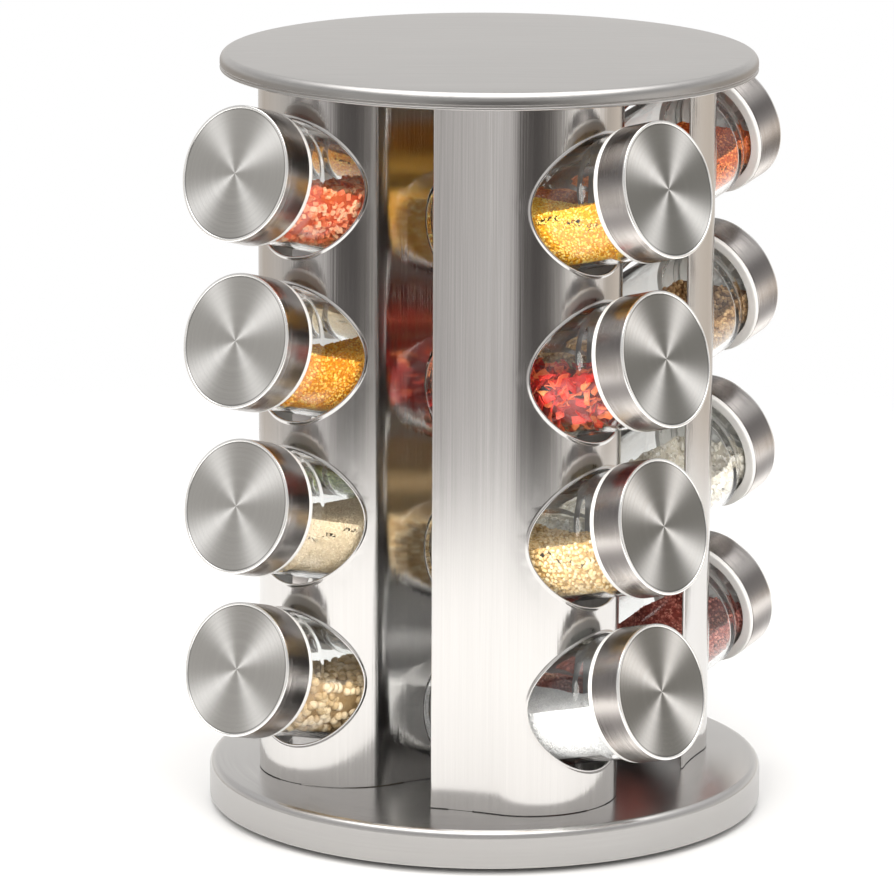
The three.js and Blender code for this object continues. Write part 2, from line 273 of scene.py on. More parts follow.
@dataclass(frozen=True)
class BrushedSteel:
    """Stainless sheet, brushed in one direction or turned about the upright axis, with painted shade on the
    inner side of a sheet and on upright faces.
    """

    name: str
    lines: Lines
    colour: Colour = (0.66, 0.645, 0.63)
    roughness: float = 0.14
    line_width: float = 0.22 * MM
    streak_width: float = 2.4 * MM
    line_tilt: float = 0.2
    streak_tilt: float = 0.03
    streak_contrast: float = 0.1
    line_contrast: float = 0.16
    cloud_contrast: float = 0.06
    # how much darker the inner side is painted, as painted shade
    inner_painted_shade: float = 0.55
    inner_roughness: float = 0.25
    # how much darker upright faces are painted, as painted shade
    wall_painted_shade: float = 0.0

    def material(self) -> bpy.types.Material:
        """Makes the material.

        Returns:
            Steel whose fine lines spread reflections across the brush's way.
        """
        graph = new_material(self.name)
        place = graph.object_place()
        normal = graph.node("ShaderNodeNewGeometry", output="Normal")
        along, tilt_way = self._direction(graph, place, normal)
        fine = graph.noise(along, 1 / self.line_width, 1.0)
        streaks = graph.noise(along, 1 / self.streak_width, 3.0)
        cloud = graph.noise(place, 22.0, 2.0)
        tilt = (fine - 0.5) * self.line_tilt + (streaks - 0.5) * self.streak_tilt
        tilted = graph.vector("NORMALIZE", graph.vector("ADD", normal, graph.scaled(tilt_way, tilt)))
        inside = graph.attribute(INSIDE, "Fac")
        bright = (streaks - 0.5) * self.streak_contrast + (fine - 0.5) * self.line_contrast
        bright = bright + (cloud - 0.5) * self.cloud_contrast + 1.0
        # Painted shade: upright faces, such as the pan's rim and the lid's side, are darker in the colour.
        rise = graph.math("ABSOLUTE", graph.node("ShaderNodeSeparateXYZ", {"Vector": normal}, "Z"))
        upright = 1.0 - graph.smooth(rise, 0.05, 0.9)
        # Painted shade: the sheet's inner side, facing the middle of the rack, is darker in the colour.
        bright = (bright - inside * self.inner_painted_shade) * (1.0 - upright * self.wall_painted_shade)
        colour = graph.scaled(graph.node("ShaderNodeCombineColor", dict(enumerate(self.colour))), bright)
        roughness = (cloud - 0.5) * 0.05 + (streaks - 0.5) * 0.06 + self.roughness
        roughness = roughness + inside * self.inner_roughness
        graph.close(
            graph.surface(Base_Color=colour, Metallic=1.0, Roughness=roughness, Normal=tilted)
        )
        return material_of(graph)

    def _direction(
        self, graph: ShaderGraph, place: Signal, normal: Signal
    ) -> tuple[Signal, Signal]:
        """Pattern coordinates drawn out along the lines, and the way that the lines tilt the surface."""
        if self.lines is Lines.UPRIGHT:
            along = graph.stretched(place, (1, 1, 0.004))
            way = graph.vector("CROSS_PRODUCT", normal, (0, 0, 1))
            return along, graph.vector("NORMALIZE", way)
        if self.lines is Lines.ACROSS:
            along = graph.stretched(place, (0.006, 1, 1))
            way = graph.vector("CROSS_PRODUCT", normal, (1, 0, 0))
            return along, graph.vector("NORMALIZE", way)
        flat = graph.vector("MULTIPLY", place, (1, 1, 0))
        radius = graph.vector("LENGTH", flat, output="Value")
        height = graph.node("ShaderNodeSeparateXYZ", {"Vector": place}, "Z")
        angle_hint = graph.stretched(place, (0.004, 0.004, 0))
        ring = graph.node("ShaderNodeCombineXYZ", {"X": radius, "Z": height})
        tangent = graph.vector("CROSS_PRODUCT", flat, (0, 0, 1))
        way = graph.vector("NORMALIZE", graph.vector("CROSS_PRODUCT", tangent, normal))
        return graph.vector("ADD", ring, angle_hint), way


@dataclass(frozen=True)
class Ray:
    """One painted bright wedge at an angle round a cap; face wedges are painted highlights and side wedges
    are painted reflection bands.
    """

    degrees: float  # clockwise from the top of the face
    sharpness: float
    strength: float


@dataclass(frozen=True)
class TurnedCapSteel:
    """A cap's steel: rings cut by a fine lathe on the face and fine rings round the side, with painted
    highlight wedges on the face, painted reflection bands on the side, a painted highlight along the rim
    and painted shade round the edge of the face.
    """

    name: str
    # painted highlight wedges on the face
    rays: tuple[Ray, ...]
    # painted reflection bands on the side
    painted_side_reflections: tuple[Ray, ...]
    face_start: float
    face_radius: float
    # dark: the face between its painted highlights; light: the painted highlights on the face and the rim
    dark: Colour
    light: Colour = (0.99, 0.98, 0.96)
    # the side's colour between and in its painted reflection bands
    side_dark: Colour = (0.2, 0.185, 0.18)
    side_light: Colour = (0.8, 0.755, 0.72)
    # how far down the side the painted highlight along the rim reaches
    rim_highlight_depth: float = 0.7 * MM
    # width and strength of the painted shade round the edge of the sunk face
    groove_width: float = 0.45 * MM
    groove_painted_shade: float = 0.6
    ring_width: float = 0.16 * MM
    ring_tilt: float = 0.3
    side_tilt: float = 0.55

    def material(self) -> bpy.types.Material:
        """Makes the material.

        Returns:
            Steel with fine lathe rings, whose face has painted highlight wedges and whose side has painted
            reflection bands in its colour.
        """
        graph = new_material(self.name)
        place = graph.attribute(OWN_PLACE, "Vector")
        spoke = graph.attribute(SPOKE, "Vector")
        radius = graph.vector("LENGTH", spoke, output="Value")
        parts = {axis: graph.node("ShaderNodeSeparateXYZ", {"Vector": place}, axis) for axis in "XYZ"}
        on_face = graph.smooth(parts["Z"], self.face_start - 0.05 * MM, self.face_start)
        on_face = on_face * (1.0 - graph.smooth(radius, self.face_radius, self.face_radius + 0.1 * MM))
        section = graph.node("ShaderNodeCombineXYZ", {"X": radius, "Y": parts["Z"]})
        rings = graph.noise(section, 1 / self.ring_width, 1.0)
        broad = graph.noise(section, 900, 2.0)
        # Painted highlight: bright wedges mixed into the face's colour by their angle round the cap.
        rays = self._painted_wedges(graph, parts, radius, self.rays)
        face = graph.mix(rays, rgba(self.dark), rgba(self.light))
        # Painted reflection: bands mixed into the side's colour by their angle round the cap.
        bands = self._painted_wedges(graph, parts, radius, self.painted_side_reflections)
        side = graph.mix(bands, rgba(self.side_dark), rgba(self.side_light))
        # Painted highlight along the rim next to the face.
        rim_highlight = graph.smooth(parts["Z"], self.face_start - self.rim_highlight_depth, self.face_start - 0.1 * MM)
        side = graph.mix(rim_highlight, side, rgba(self.light))
        shade = (rings - 0.5) * 0.18 + (broad - 0.5) * 0.1 + 1.0
        # Painted shade in a ring at the edge of the sunk face, where it steps down from the rim.
        groove = graph.smooth(radius, self.face_radius - self.groove_width, self.face_radius) * on_face
        shade = shade * (1.0 - groove * self.groove_painted_shade)
        colour = graph.scaled(graph.mix(on_face, side, face), shade)
        normal = graph.node("ShaderNodeNewGeometry", output="Normal")
        face_lean = (rings - 0.5) * self.ring_tilt * on_face
        side_lean = (rings - 0.5) * self.side_tilt * (1.0 - on_face)
        tilted = graph.vector("ADD", normal, graph.scaled(self._world_way(graph, spoke), face_lean))
        axle = self._world_way(graph, graph.attribute(AXLE, "Vector"))
        tilted = graph.vector("ADD", tilted, graph.scaled(axle, side_lean))
        roughness = (broad - 0.5) * 0.05 + 0.25
        graph.close(
            graph.surface(
                Base_Color=colour,
                Metallic=1.0,
                Roughness=roughness,
                Normal=graph.vector("NORMALIZE", tilted),
            )
        )
        return material_of(graph)

    @staticmethod
    def _world_way(graph: ShaderGraph, way: Signal) -> Signal:
        """A direction of the piece's own mesh, as it points in the room, one long."""
        turned_way = graph.node(
            "ShaderNodeVectorTransform",
            {"Vector": way},
            vector_type="VECTOR",
            convert_from="OBJECT",
            convert_to="WORLD",
        )
        return graph.vector("NORMALIZE", turned_way)

    @staticmethod
    def _painted_wedges(
        graph: ShaderGraph, parts: dict[str, Signal], radius: Signal, rays: Sequence[Ray]
    ) -> Signal:
        """How bright the painted wedges are at each angle round the cap, from 0 to 1."""
        inside = radius.at_least(0.05 * MM)
        up = parts["X"] * -1.0 / inside
        across = parts["Y"] / inside
        total: Signal | None = None
        for ray in rays:
            angle = math.radians(ray.degrees)
            facing = (up * math.cos(angle) + across * math.sin(angle)).at_least(0.0)
            lobe = facing**ray.sharpness * ray.strength
            total = lobe if total is None else total + lobe
        return graph.math("MINIMUM", total, 1.0)


@dataclass(frozen=True)
class ClearGlass:
    """Clear pressed glass with a faint waviness."""

    name: str = "jar_glass"
    tint: Colour = (0.985, 0.995, 0.99)
    refraction: float = 1.46

    def material(self) -> bpy.types.Material:
        """Makes the material.

        Returns:
            Glass that lets the lamps light what is inside it.
        """
        graph = new_material(self.name)
        place = graph.object_place()
        waves = graph.noise(place, 60.0, 1.0)
        bump = graph.node("ShaderNodeBump", {"Strength": 0.12, "Distance": 0.4 * MM, "Height": waves})
        haze = graph.noise(place, 180.0, 3.0) * 0.03
        glass = graph.surface(
            Base_Color=self.tint,
            Roughness=haze,
            IOR=self.refraction,
            Transmission_Weight=1.0,
            Normal=bump,
        )
        clear = graph.node("ShaderNodeBsdfTransparent", {"Color": rgba(grey(0.97))})
        shadow = graph.node("ShaderNodeLightPath", output="Is Shadow Ray")
        graph.close(graph.node("ShaderNodeMixShader", {0: shadow, 1: glass, 2: clear}))
        return material_of(graph)


@dataclass(frozen=True)
class Moulded:
    """Moulded plastic or rubber with a fine grain."""

    name: str
    colour: Colour
    roughness: float
    grain: float = 900.0
    grain_depth: float = 0.03 * MM

    def material(self) -> bpy.types.Material:
        """Makes the material.

        Returns:
            A matt or satin surface with a moulded grain.
        """
        graph = new_material(self.name)
        place = graph.object_place()
        pores = graph.noise(place, self.grain, 3.0)
        cloud = graph.noise(place, 45.0, 2.0)
        bump = graph.node(
            "ShaderNodeBump", {"Strength": 0.5, "Distance": self.grain_depth, "Height": pores}
        )
        shade = (cloud - 0.5) * 0.12 + (pores - 0.5) * 0.06 + 1.0
        colour = graph.scaled(graph.node("ShaderNodeCombineColor", dict(enumerate(self.colour))), shade)
        roughness = (pores - 0.5) * 0.14 + self.roughness
        graph.close(graph.surface(Base_Color=colour, Roughness=roughness, Normal=bump))
        return material_of(graph)


@dataclass(frozen=True)
class SpiceFinish:
    """Colour and gloss of one spice, from its darkest grain to its palest."""

    name: str
    dark: Colour
    middle: Colour
    light: Colour
    roughness: float = 0.6
    glow: float = 0.0

    def material(self) -> bpy.types.Material:
        """Makes the material.

        Returns:
            A surface that takes each grain's colour from its own tint.
        """
        graph = new_material(self.name)
        place = graph.object_place()
        tint = graph.attribute(TINT, "Fac")
        speckle = graph.noise(place, 1500.0, 2.0)
        pick = tint + (speckle - 0.5) * 0.35
        stops = [(0.0, self.dark), (0.5, self.middle), (1.0, self.light)]
        colour = graph.node("ShaderNodeValToRGB", {"Fac": pick}, stops=stops)
        bump = graph.node("ShaderNodeBump", {"Strength": 0.4, "Distance": 0.2 * MM, "Height": speckle})
        graph.close(
            graph.surface(
                Base_Color=colour,
                Roughness=(speckle - 0.5) * 0.2 + self.roughness,
                Subsurface_Weight=self.glow,
                Subsurface_Scale=1.5 * MM,
                Normal=bump,
            )
        )
        return material_of(graph)


_materials: dict[int, bpy.types.Material] = {}


def new_material(name: str) -> ShaderGraph:
    """Starts a material.

    Args:
        name: the material's name.

    Returns:
        Its empty shader graph.
    """
    material = bpy.data.materials.new(name)
    material.use_nodes = True
    graph = ShaderGraph(material.node_tree)
    _materials[id(graph)] = material
    return graph


def material_of(graph: ShaderGraph) -> bpy.types.Material:
    """The material that a shader graph belongs to."""
    return _materials.pop(id(graph))


# ---- geometry wiring ----------------------------------------------------------------------------


class GeometryGraph:
    """A Geometry Nodes tree with named sizes, turned into a plain mesh."""

    def __init__(self, name: str) -> None:
        """Starts a tree that takes a mesh in and gives one out."""
        self.tree = bpy.data.node_groups.new(name, "GeometryNodeTree")
        self.tree.interface.new_socket("Geometry", in_out="INPUT", socket_type="NodeSocketGeometry")
        self.tree.interface.new_socket("Geometry", in_out="OUTPUT", socket_type="NodeSocketGeometry")
        self.start = self.tree.nodes.new("NodeGroupInput")
        self.end = self.tree.nodes.new("NodeGroupOutput")
        self.values: dict[str, object] = {}

    def size(self, name: str, kind: str, value: object) -> bpy.types.NodeSocket:
        """Adds a named input.

        Args:
            name: a plain name for the size.
            kind: Float, Int, Vector or Material.
            value: what the modifier sets it to.

        Returns:
            The socket that carries it through the tree.
        """
        made = self.tree.interface.new_socket(name, in_out="INPUT", socket_type=f"NodeSocket{kind}")
        self.values[made.identifier] = value
        return self.start.outputs[name]

    def node(
        self, kind: str, inputs: dict[str | int, object] | None = None, **settings: object
    ) -> bpy.types.NodeSocket:
        """Adds any node.

        Args:
            kind: the node's type name.
            inputs: values or outputs for its inputs, by name or by position.
            **settings: properties, set before the inputs.

        Returns:
            The node's first output that is in use.
        """
        made = self.tree.nodes.new(kind)
        for key, value in settings.items():
            setattr(made, key, value)
        live = [socket for socket in made.inputs if socket.enabled]
        for key, value in (inputs or {}).items():
            socket = live[key] if isinstance(key, int) else next(s for s in live if s.name == key)
            for one in value if isinstance(value, list) else [value]:
                if isinstance(one, bpy.types.NodeSocket):
                    self.tree.links.new(one, socket)
                else:
                    socket.default_value = one
        return next(socket for socket in made.outputs if socket.enabled)

    def build(
        self, shape: bpy.types.NodeSocket, material: bpy.types.Material, start: bpy.types.Mesh
    ) -> bpy.types.Mesh:
        """Closes the tree, runs it once and reads the result.

        Args:
            shape: the output that holds the finished geometry.
            material: what the whole result is made of.
            start: the mesh that goes in.

        Returns:
            A plain mesh.
        """
        dressing = self.size("Material", "Material", material)
        real = self.node("GeometryNodeRealizeInstances", {"Geometry": shape})
        dressed = self.node("GeometryNodeSetMaterial", {"Geometry": real, "Material": dressing})
        self.tree.links.new(dressed, self.end.inputs[0])
        carrier = bpy.data.objects.new(self.tree.name, start)
        bpy.context.scene.collection.objects.link(carrier)
        modifier = carrier.modifiers.new("shape", "NODES")
        modifier.node_group = self.tree
        for identifier, value in self.values.items():
            modifier[identifier] = value
        graph = bpy.context.evaluated_depsgraph_get()
        result = bpy.data.meshes.new_from_object(carrier.evaluated_get(graph))
        carrier.modifiers.remove(modifier)
        bpy.data.objects.remove(carrier)
        return result


# ---- mesh helpers -------------------------------------------------------------------------------


@dataclass(frozen=True)
class Corner:
    """A corner of a turned profile, with the radius that rounds it."""

    radius: float
    height: float
    fillet: float = 0.0


def rounded(corners: Sequence[Corner], steps: int = 5) -> list[tuple[float, float]]:
    """Rounds the corners of a closed profile.

    Args:
        corners: the profile's corners in order.
        steps: pieces in each rounded corner.

    Returns:
        Points of the rounded profile.
    """
    points: list[tuple[float, float]] = []
    for index, corner in enumerate(corners):
        here = Vector((corner.radius, corner.height))
        if corner.fillet <= 0:
            points.append(tuple(here))
            continue
        before = corners[index - 1]
        after = corners[(index + 1) % len(corners)]
        back = (Vector((before.radius, before.height)) - here).normalized()
        on = (Vector((after.radius, after.height)) - here).normalized()
        half = back.angle(on) / 2
        reach = corner.fillet / math.tan(half)
        centre = here + (back + on).normalized() * (corner.fillet / math.sin(half))
        first = here + back * reach - centre
        last = here + on * reach - centre
        turn = first.angle_signed(last)
        for step in range(steps + 1):
            swept = first.copy()
            swept.rotate(Matrix.Rotation(-turn * step / steps, 2))
            points.append(tuple(centre + swept))
    return points


def turned(profile: Sequence[tuple[float, float]], sides: int) -> bmesh.types.BMesh:
    """Turns a closed profile about +Z.

    Args:
        profile: (radius, height) points in order; radius 0 is on the axis.
        sides: steps round the axis.

    Returns:
        The closed surface.
    """
    shape = bmesh.new()
    rings = []
    for radius, height in profile:
        if radius < 1e-7:
            rings.append([shape.verts.new((0, 0, height))] * sides)
            continue
        ring = []
        for side in range(sides):
            angle = 2 * math.pi * side / sides
            ring.append(shape.verts.new((radius * math.cos(angle), radius * math.sin(angle), height)))
        rings.append(ring)
    for first, second in zip(rings, rings[1:] + rings[:1]):
        for side in range(sides):
            after = (side + 1) % sides
            corners = [first[side], first[after], second[after], second[side]]
            distinct = list(dict.fromkeys(corners))
            if len(distinct) > 2:
                shape.faces.new(distinct)
    return shape


def closed_mesh(shape: bmesh.types.BMesh, name: str) -> bpy.types.Mesh:
    """Merges doubles, turns every face outwards and smooths all but the sharp edges.

    Args:
        shape: the surface, which is freed.
        name: name of the mesh.

    Returns:
        The finished mesh.
    """
    bmesh.ops.remove_doubles(shape, verts=shape.verts, dist=1e-6)
    bmesh.ops.recalc_face_normals(shape, faces=shape.faces)
    mesh = bpy.data.meshes.new(name)
    shape.to_mesh(mesh)
    shape.free()
    mesh.shade_smooth()
    mesh.set_sharp_from_angle(angle=SMOOTH_ANGLE)
    return mesh


def place_piece(
    name: str,
    mesh: bpy.types.Mesh,
    body: str,
    stands_for: Sequence[str] = (),
    material: bpy.types.Material | None = None,
) -> bpy.types.Object:
    """Puts a finished mesh in the scene, on its body.

    Args:
        name: the piece's name.
        mesh: its mesh, in the row frame.
        body: the body that carries it.
        stands_for: the frame's nodes that it replaces.
        material: its material, where the mesh doesn't hold it yet.

    Returns:
        The object.
    """
    if material is not None:
        mesh.materials.clear()
        mesh.materials.append(material)
    mesh.name = name
    piece = bpy.data.objects.new(name, mesh)
    bpy.context.scene.collection.objects.link(piece)
    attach(piece, body)
    if stands_for:
        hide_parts(*stands_for)
    log.info("%s rides on %s with %d faces", name, body, len(mesh.polygons))
    return piece


# ---- places read from the frame -----------------------------------------------------------------


@dataclass(frozen=True)
class JarPlace:
    """Where one jar lies: its own frame has +Z out of the mouth and +X towards the floor."""

    column: int
    row: int
    matrix: Matrix

    @property
    def suffix(self) -> str:
        """Ending of the names that belong to this jar."""
        return f"c{self.column}_r{self.row}"

    @property
    def azimuth(self) -> float:
        """Direction that the jar's mouth faces, seen from above."""
        axis = self.matrix.col[2]
        return math.atan2(axis.y, axis.x)


def read_jar_places() -> list[JarPlace]:
    """Reads each jar's place from its slide's axis and its glass.

    Returns:
        The places, column by column from the bottom row up.
    """
    places = []
    for joint in frame["joints"]:
        if not joint["name"].startswith("jar_slide_"):
            continue
        column, row = (int(word[1:]) for word in joint["name"].split("_")[2:4])
        axis = Vector(joint["axis"]).normalized()
        corners = [vertex.co for vertex in frame["nodes"][joint["child"]].data.vertices]
        middle = sum(corners, Vector()) / len(corners)
        low = min(corner.dot(axis) for corner in corners)
        origin = middle + axis * (low - middle.dot(axis))
        across = Vector((0, 0, 1)).cross(axis).normalized()
        matrix = Matrix((across.cross(axis), across, axis)).transposed().to_4x4()
        matrix.translation = origin
        places.append(JarPlace(column, row, matrix))
    return sorted(places, key=lambda place: (place.column, place.row))


def ring_of(radius: float, height: float, sides: int) -> list[tuple[float, float, float]]:
    """Points round a level circle about the upright axis."""
    step = 2 * math.pi / sides
    return [(radius * math.cos(step * i), radius * math.sin(step * i), height) for i in range(sides)]


def triangulate(
    loops: Sequence[Sequence[Vector]],
    extra: Sequence[Vector],
    keep: Callable[[Vector, set[int]], bool],
) -> tuple[list[Vector], list[tuple[int, ...]], list[list[int]]]:
    """Fills a flat region with triangles.

    Args:
        loops: closed loops of points, the outline first.
        extra: further points inside the region.
        keep: says whether to keep a triangle, from its middle and the loops that its corners lie on.

    Returns:
        The points, the triangles, and each loop as indices of points.
    """
    points: list[Vector] = []
    edges: list[tuple[int, int]] = []
    owner: dict[int, int] = {}
    spans: list[range] = []
    for number, loop in enumerate(loops):
        first = len(points)
        points.extend(loop)
        spans.append(range(first, len(points)))
        for index in spans[-1]:
            owner[index] = number
            edges.append((index, index + 1 if index + 1 < len(points) else first))
    points.extend(extra)
    made, _, faces, origins, *_ = delaunay_2d_cdt(points, edges, [], 0, 1e-9)
    source = {old: new for new, olds in enumerate(origins) for old in olds}
    loop_of = {source[old]: number for old, number in owner.items()}
    kept = []
    for face in faces:
        middle = sum((made[index] for index in face), Vector((0, 0))) / len(face)
        touching = {loop_of.get(index, -1) for index in face}
        if keep(middle, touching):
            kept.append(tuple(face))
    return list(made), kept, [[source[index] for index in span] for span in spans]


# ---- columns ------------------------------------------------------------------------------------


@dataclass(frozen=True)
class Arc:
    """One stretch of the column's section."""

    length: float
    curvature: float


@dataclass
class Column:
    """One upright column: a bent sheet with four lipped holes and tabs at both ends."""

    number: int
    places: list[JarPlace]
    bottom: float
    top: float
    sheet: float = 1.0 * MM
    nose_reach: float = 75.0 * MM
    nose_radius: float = 31.5 * MM
    nose_half_angle: float = math.radians(58)
    shoulder_radius: float = 20.0 * MM
    shoulder_angle: float = math.radians(17)
    leg_radius: float = 120.0 * MM
    long_leg: float = 25.5 * MM
    short_leg: float = 18.5 * MM
    tab_length: float = 9.0 * MM
    tab_reach: float = 1.9 * MM
    long_leg_tab: float = 11.0 * MM
    short_leg_tab: float = 8.0 * MM
    hole_radius: float = 24.5 * MM
    hole_drop: float = 1.2 * MM
    hole_sides: int = 96
    edge_steps: int = 6
    edge_margin: float = 0.2 * MM
    lip_margin: float = 0.3 * MM
    wall_step: float = 2.0 * MM
    height_step: float = 5.0 * MM
    matrix: Matrix = field(init=False)

    # The lip's section: how far out from the hole's edge, and how far out of the sheet's middle.
    LIP = (
        (1.2, 0.5), (0.85, 0.58), (0.5, 0.74), (0.2, 0.82), (-0.02, 0.74), (-0.13, 0.5),
        (-0.15, 0.15), (-0.03, -0.15), (0.25, -0.36), (0.7, -0.47), (1.2, -0.5),
    )

    def __post_init__(self) -> None:
        """Reads the column's own frame from its jars."""
        azimuth = self.places[0].azimuth
        across = Vector((-math.sin(azimuth), math.cos(azimuth), 0))
        offset = self.places[0].matrix.translation.dot(across)
        self.matrix = Matrix.Rotation(azimuth, 4, "Z") @ Matrix.Translation((0, offset, 0))

    def _arcs(self, leg: float) -> tuple[Arc, Arc, Arc]:
        """Nose, shoulder and leg of one half of the section."""
        return (
            Arc(self.nose_radius * self.nose_half_angle, 1 / self.nose_radius),
            Arc(self.shoulder_radius * self.shoulder_angle, 1 / self.shoulder_radius),
            Arc(leg, -1 / self.leg_radius),
        )

    @property
    def long_reach(self) -> float:
        """Way along the wall from the nose to the long leg's edge."""
        return sum(arc.length for arc in self._arcs(self.long_leg))

    @property
    def short_reach(self) -> float:
        """Way along the wall from the nose to the short leg's edge."""
        return sum(arc.length for arc in self._arcs(self.short_leg))

    def wall(self, along: float, height: float, out: float = 0.0) -> Vector:
        """A point of the wall.

        Args:
            along: way along the wall from the nose, below zero towards the long leg.
            height: height above the floor.
            out: distance out of the sheet's middle.

        Returns:
            The point in the column's own frame.
        """
        side = -1.0 if along < 0 else 1.0
        x = self.nose_reach - self.sheet / 2
        y = 0.0
        heading = math.pi / 2
        left = abs(along)
        arcs = self._arcs(self.long_leg if along < 0 else self.short_leg)
        for arc in arcs:
            run = left if arc is arcs[-1] else min(left, arc.length)
            turned_to = heading + run * arc.curvature
            x += (math.sin(turned_to) - math.sin(heading)) / arc.curvature
            y -= (math.cos(turned_to) - math.cos(heading)) / arc.curvature
            heading = turned_to
            left -= run
        normal = Vector((math.sin(heading), -side * math.cos(heading), 0))
        return Vector((x, side * y, height)) + normal * out

    def tabs(self) -> list[float]:
        """Middles of the tabs along the wall."""
        return [self.long_leg_tab - self.long_reach, 0.0, self.short_reach - self.short_leg_tab]

    def _outline(self) -> list[Vector]:
        """The flat sheet's outline, anticlockwise, short of its two upright edges, which are rounded."""
        margin = self.sheet / 2 + self.edge_margin
        left = margin - self.long_reach
        right = self.short_reach - margin
        half = self.tab_length / 2
        bottom = [(left, self.bottom)]
        for middle in self.tabs():
            for along, depth in ((-half, 0), (-half, 1), (half, 1), (half, 0)):
                bottom.append((middle + along, self.bottom - depth * self.tab_reach))
        bottom.append((right, self.bottom))
        flip = self.bottom + self.top
        corners = bottom + [(along, flip - height) for along, height in reversed(bottom)]
        points = []
        for start, end in zip(corners, corners[1:] + corners[:1]):
            first, last = Vector(start), Vector(end)
            parts = max(1, round((last - first).length / (2 * self.wall_step)))
            points.extend(first.lerp(last, part / parts) for part in range(parts))
        return points

    def _hole_height(self, place: JarPlace) -> float:
        """Height of a hole's middle, a little below the jar's axis where that leaves the nose."""
        jar = self.matrix.inverted() @ place.matrix
        axis, base = jar.col[2], jar.translation
        return base.z + axis.z * (self.nose_reach - base.x) / axis.x - self.hole_drop

    def _hole(self, place: JarPlace) -> list[Vector]:
        """A hole's edge in the flat sheet, anticlockwise; the hole is punched square to the wall."""
        middle = self._hole_height(place)
        points = []
        for step in range(self.hole_sides):
            angle = 2 * math.pi * step / self.hole_sides
            across = -self.hole_radius * math.sin(angle)
            along = self.nose_radius * math.asin(across / self.nose_radius)
            points.append(Vector((along, middle + self.hole_radius * math.cos(angle))))
        return points

    def _spread(self, loop: Sequence[Vector], distance: float) -> list[Vector]:
        """A hole's edge moved outwards in the flat sheet."""
        moved = []
        for before, here, after in zip([loop[-1], *loop[:-1]], loop, [*loop[1:], loop[0]]):
            way = (after - before).normalized()
            moved.append(here + Vector((way.y, -way.x)) * distance)
        return moved

    def _clear_of_holes(self, point: Vector, margin: float) -> bool:
        """True where a point of the flat sheet lies outside every hole by a margin."""
        across = self.wall(point.x, point.y).y
        reach = self.hole_radius + margin
        return all(
            math.hypot(across, point.y - self._hole_height(place)) > reach for place in self.places
        )

    def _keep(self, middle: Vector, loops: set[int]) -> bool:
        """True for a triangle on the sheet: not in a hole and not between two tabs."""
        if len(loops) == 1 and loops.pop() > 0:
            return False
        if self.bottom < middle.y < self.top:
            return True
        return any(abs(middle.x - tab) < self.tab_length / 2 for tab in self.tabs())

    def build(self, material: bpy.types.Material) -> bpy.types.Object:
        """Builds the column.

        Args:
            material: its steel.

        Returns:
            The column on the rack's body.
        """
        outline = self._outline()
        holes = [self._hole(place) for place in self.places]
        lip = [(reach * MM, out * MM) for reach, out in self.LIP]
        rims = [self._spread(hole, lip[0][0]) for hole in holes]
        columns = round((self.long_reach + self.short_reach) / self.wall_step)
        rows = round((self.top - self.bottom) / self.height_step)
        scatter = []
        for column in range(1, columns):
            for row in range(1, rows):
                along = -self.long_reach + (self.long_reach + self.short_reach) * column / columns
                point = Vector((along, self.bottom + (self.top - self.bottom) * row / rows))
                if self._clear_of_holes(point, lip[0][0] + 1.0 * MM):
                    scatter.append(point)
        for hole in holes:
            scatter.extend(self._spread(hole, lip[0][0] + self.lip_margin))
        points, faces, loops = triangulate([outline, *rims], scatter, self._keep)
        shape = bmesh.new()
        half = self.sheet / 2
        inside = shape.verts.layers.float.new(INSIDE)
        outer = [shape.verts.new(self.wall(point.x, point.y, half)) for point in points]
        inner = [shape.verts.new(self.wall(point.x, point.y, -half)) for point in points]
        for vertex in inner:
            vertex[inside] = 1.0
        for face in faces:
            shape.faces.new([outer[index] for index in face])
            shape.faces.new([inner[index] for index in reversed(face)])
        self._edge(shape, points, loops[0], outer, inner)
        for hole, loop in zip(holes, loops[1:]):
            rings = [[outer[index] for index in loop]]
            for reach, out in lip[1:-1]:
                ring = self._spread(hole, reach)
                rings.append([shape.verts.new(self.wall(point.x, point.y, out)) for point in ring])
            rings.append([inner[index] for index in loop])
            bridge(shape, rings)
        unused = [vertex for vertex in shape.verts if not vertex.link_faces]
        bmesh.ops.delete(shape, geom=unused, context="VERTS")
        shape.transform(self.matrix)
        mesh = closed_mesh(shape, "column")
        name = f"column_sheet_{self.number}"
        node = f"column_{self.number}"
        return place_piece(name, mesh, "rack", [node], material)

    def _edge(
        self,
        shape: bmesh.types.BMesh,
        points: Sequence[Vector],
        loop: Sequence[int],
        outer: Sequence[bmesh.types.BMVert],
        inner: Sequence[bmesh.types.BMVert],
    ) -> None:
        """Closes the sheet's outline; the two upright free edges are round."""
        left = min(points[index].x for index in loop)
        right = max(points[index].x for index in loop)
        rings = [[outer[index] for index in loop]]
        for step in range(self.edge_steps + 1):
            angle = math.pi * step / self.edge_steps
            ring = []
            for index in loop:
                point = points[index]
                side = (point.x > right - 1e-6) - (point.x < left + 1e-6)
                along = point.x + side * (self.edge_margin + math.sin(angle) * self.sheet / 2)
                place = self.wall(along, point.y, math.cos(angle) * self.sheet / 2)
                ring.append(shape.verts.new(place))
            rings.append(ring)
        rings.append([inner[index] for index in loop])
        bridge(shape, rings)


def bridge(shape: bmesh.types.BMesh, rings: Sequence[Sequence[bmesh.types.BMVert]]) -> None:
    """Joins closed rings of equal length with bands of four-sided faces."""
    for first, second in zip(rings, rings[1:]):
        count = len(first)
        for index in range(count):
            after = (index + 1) % count
            shape.faces.new([first[index], first[after], second[after], second[index]])


# ---- round sheet parts --------------------------------------------------------------------------


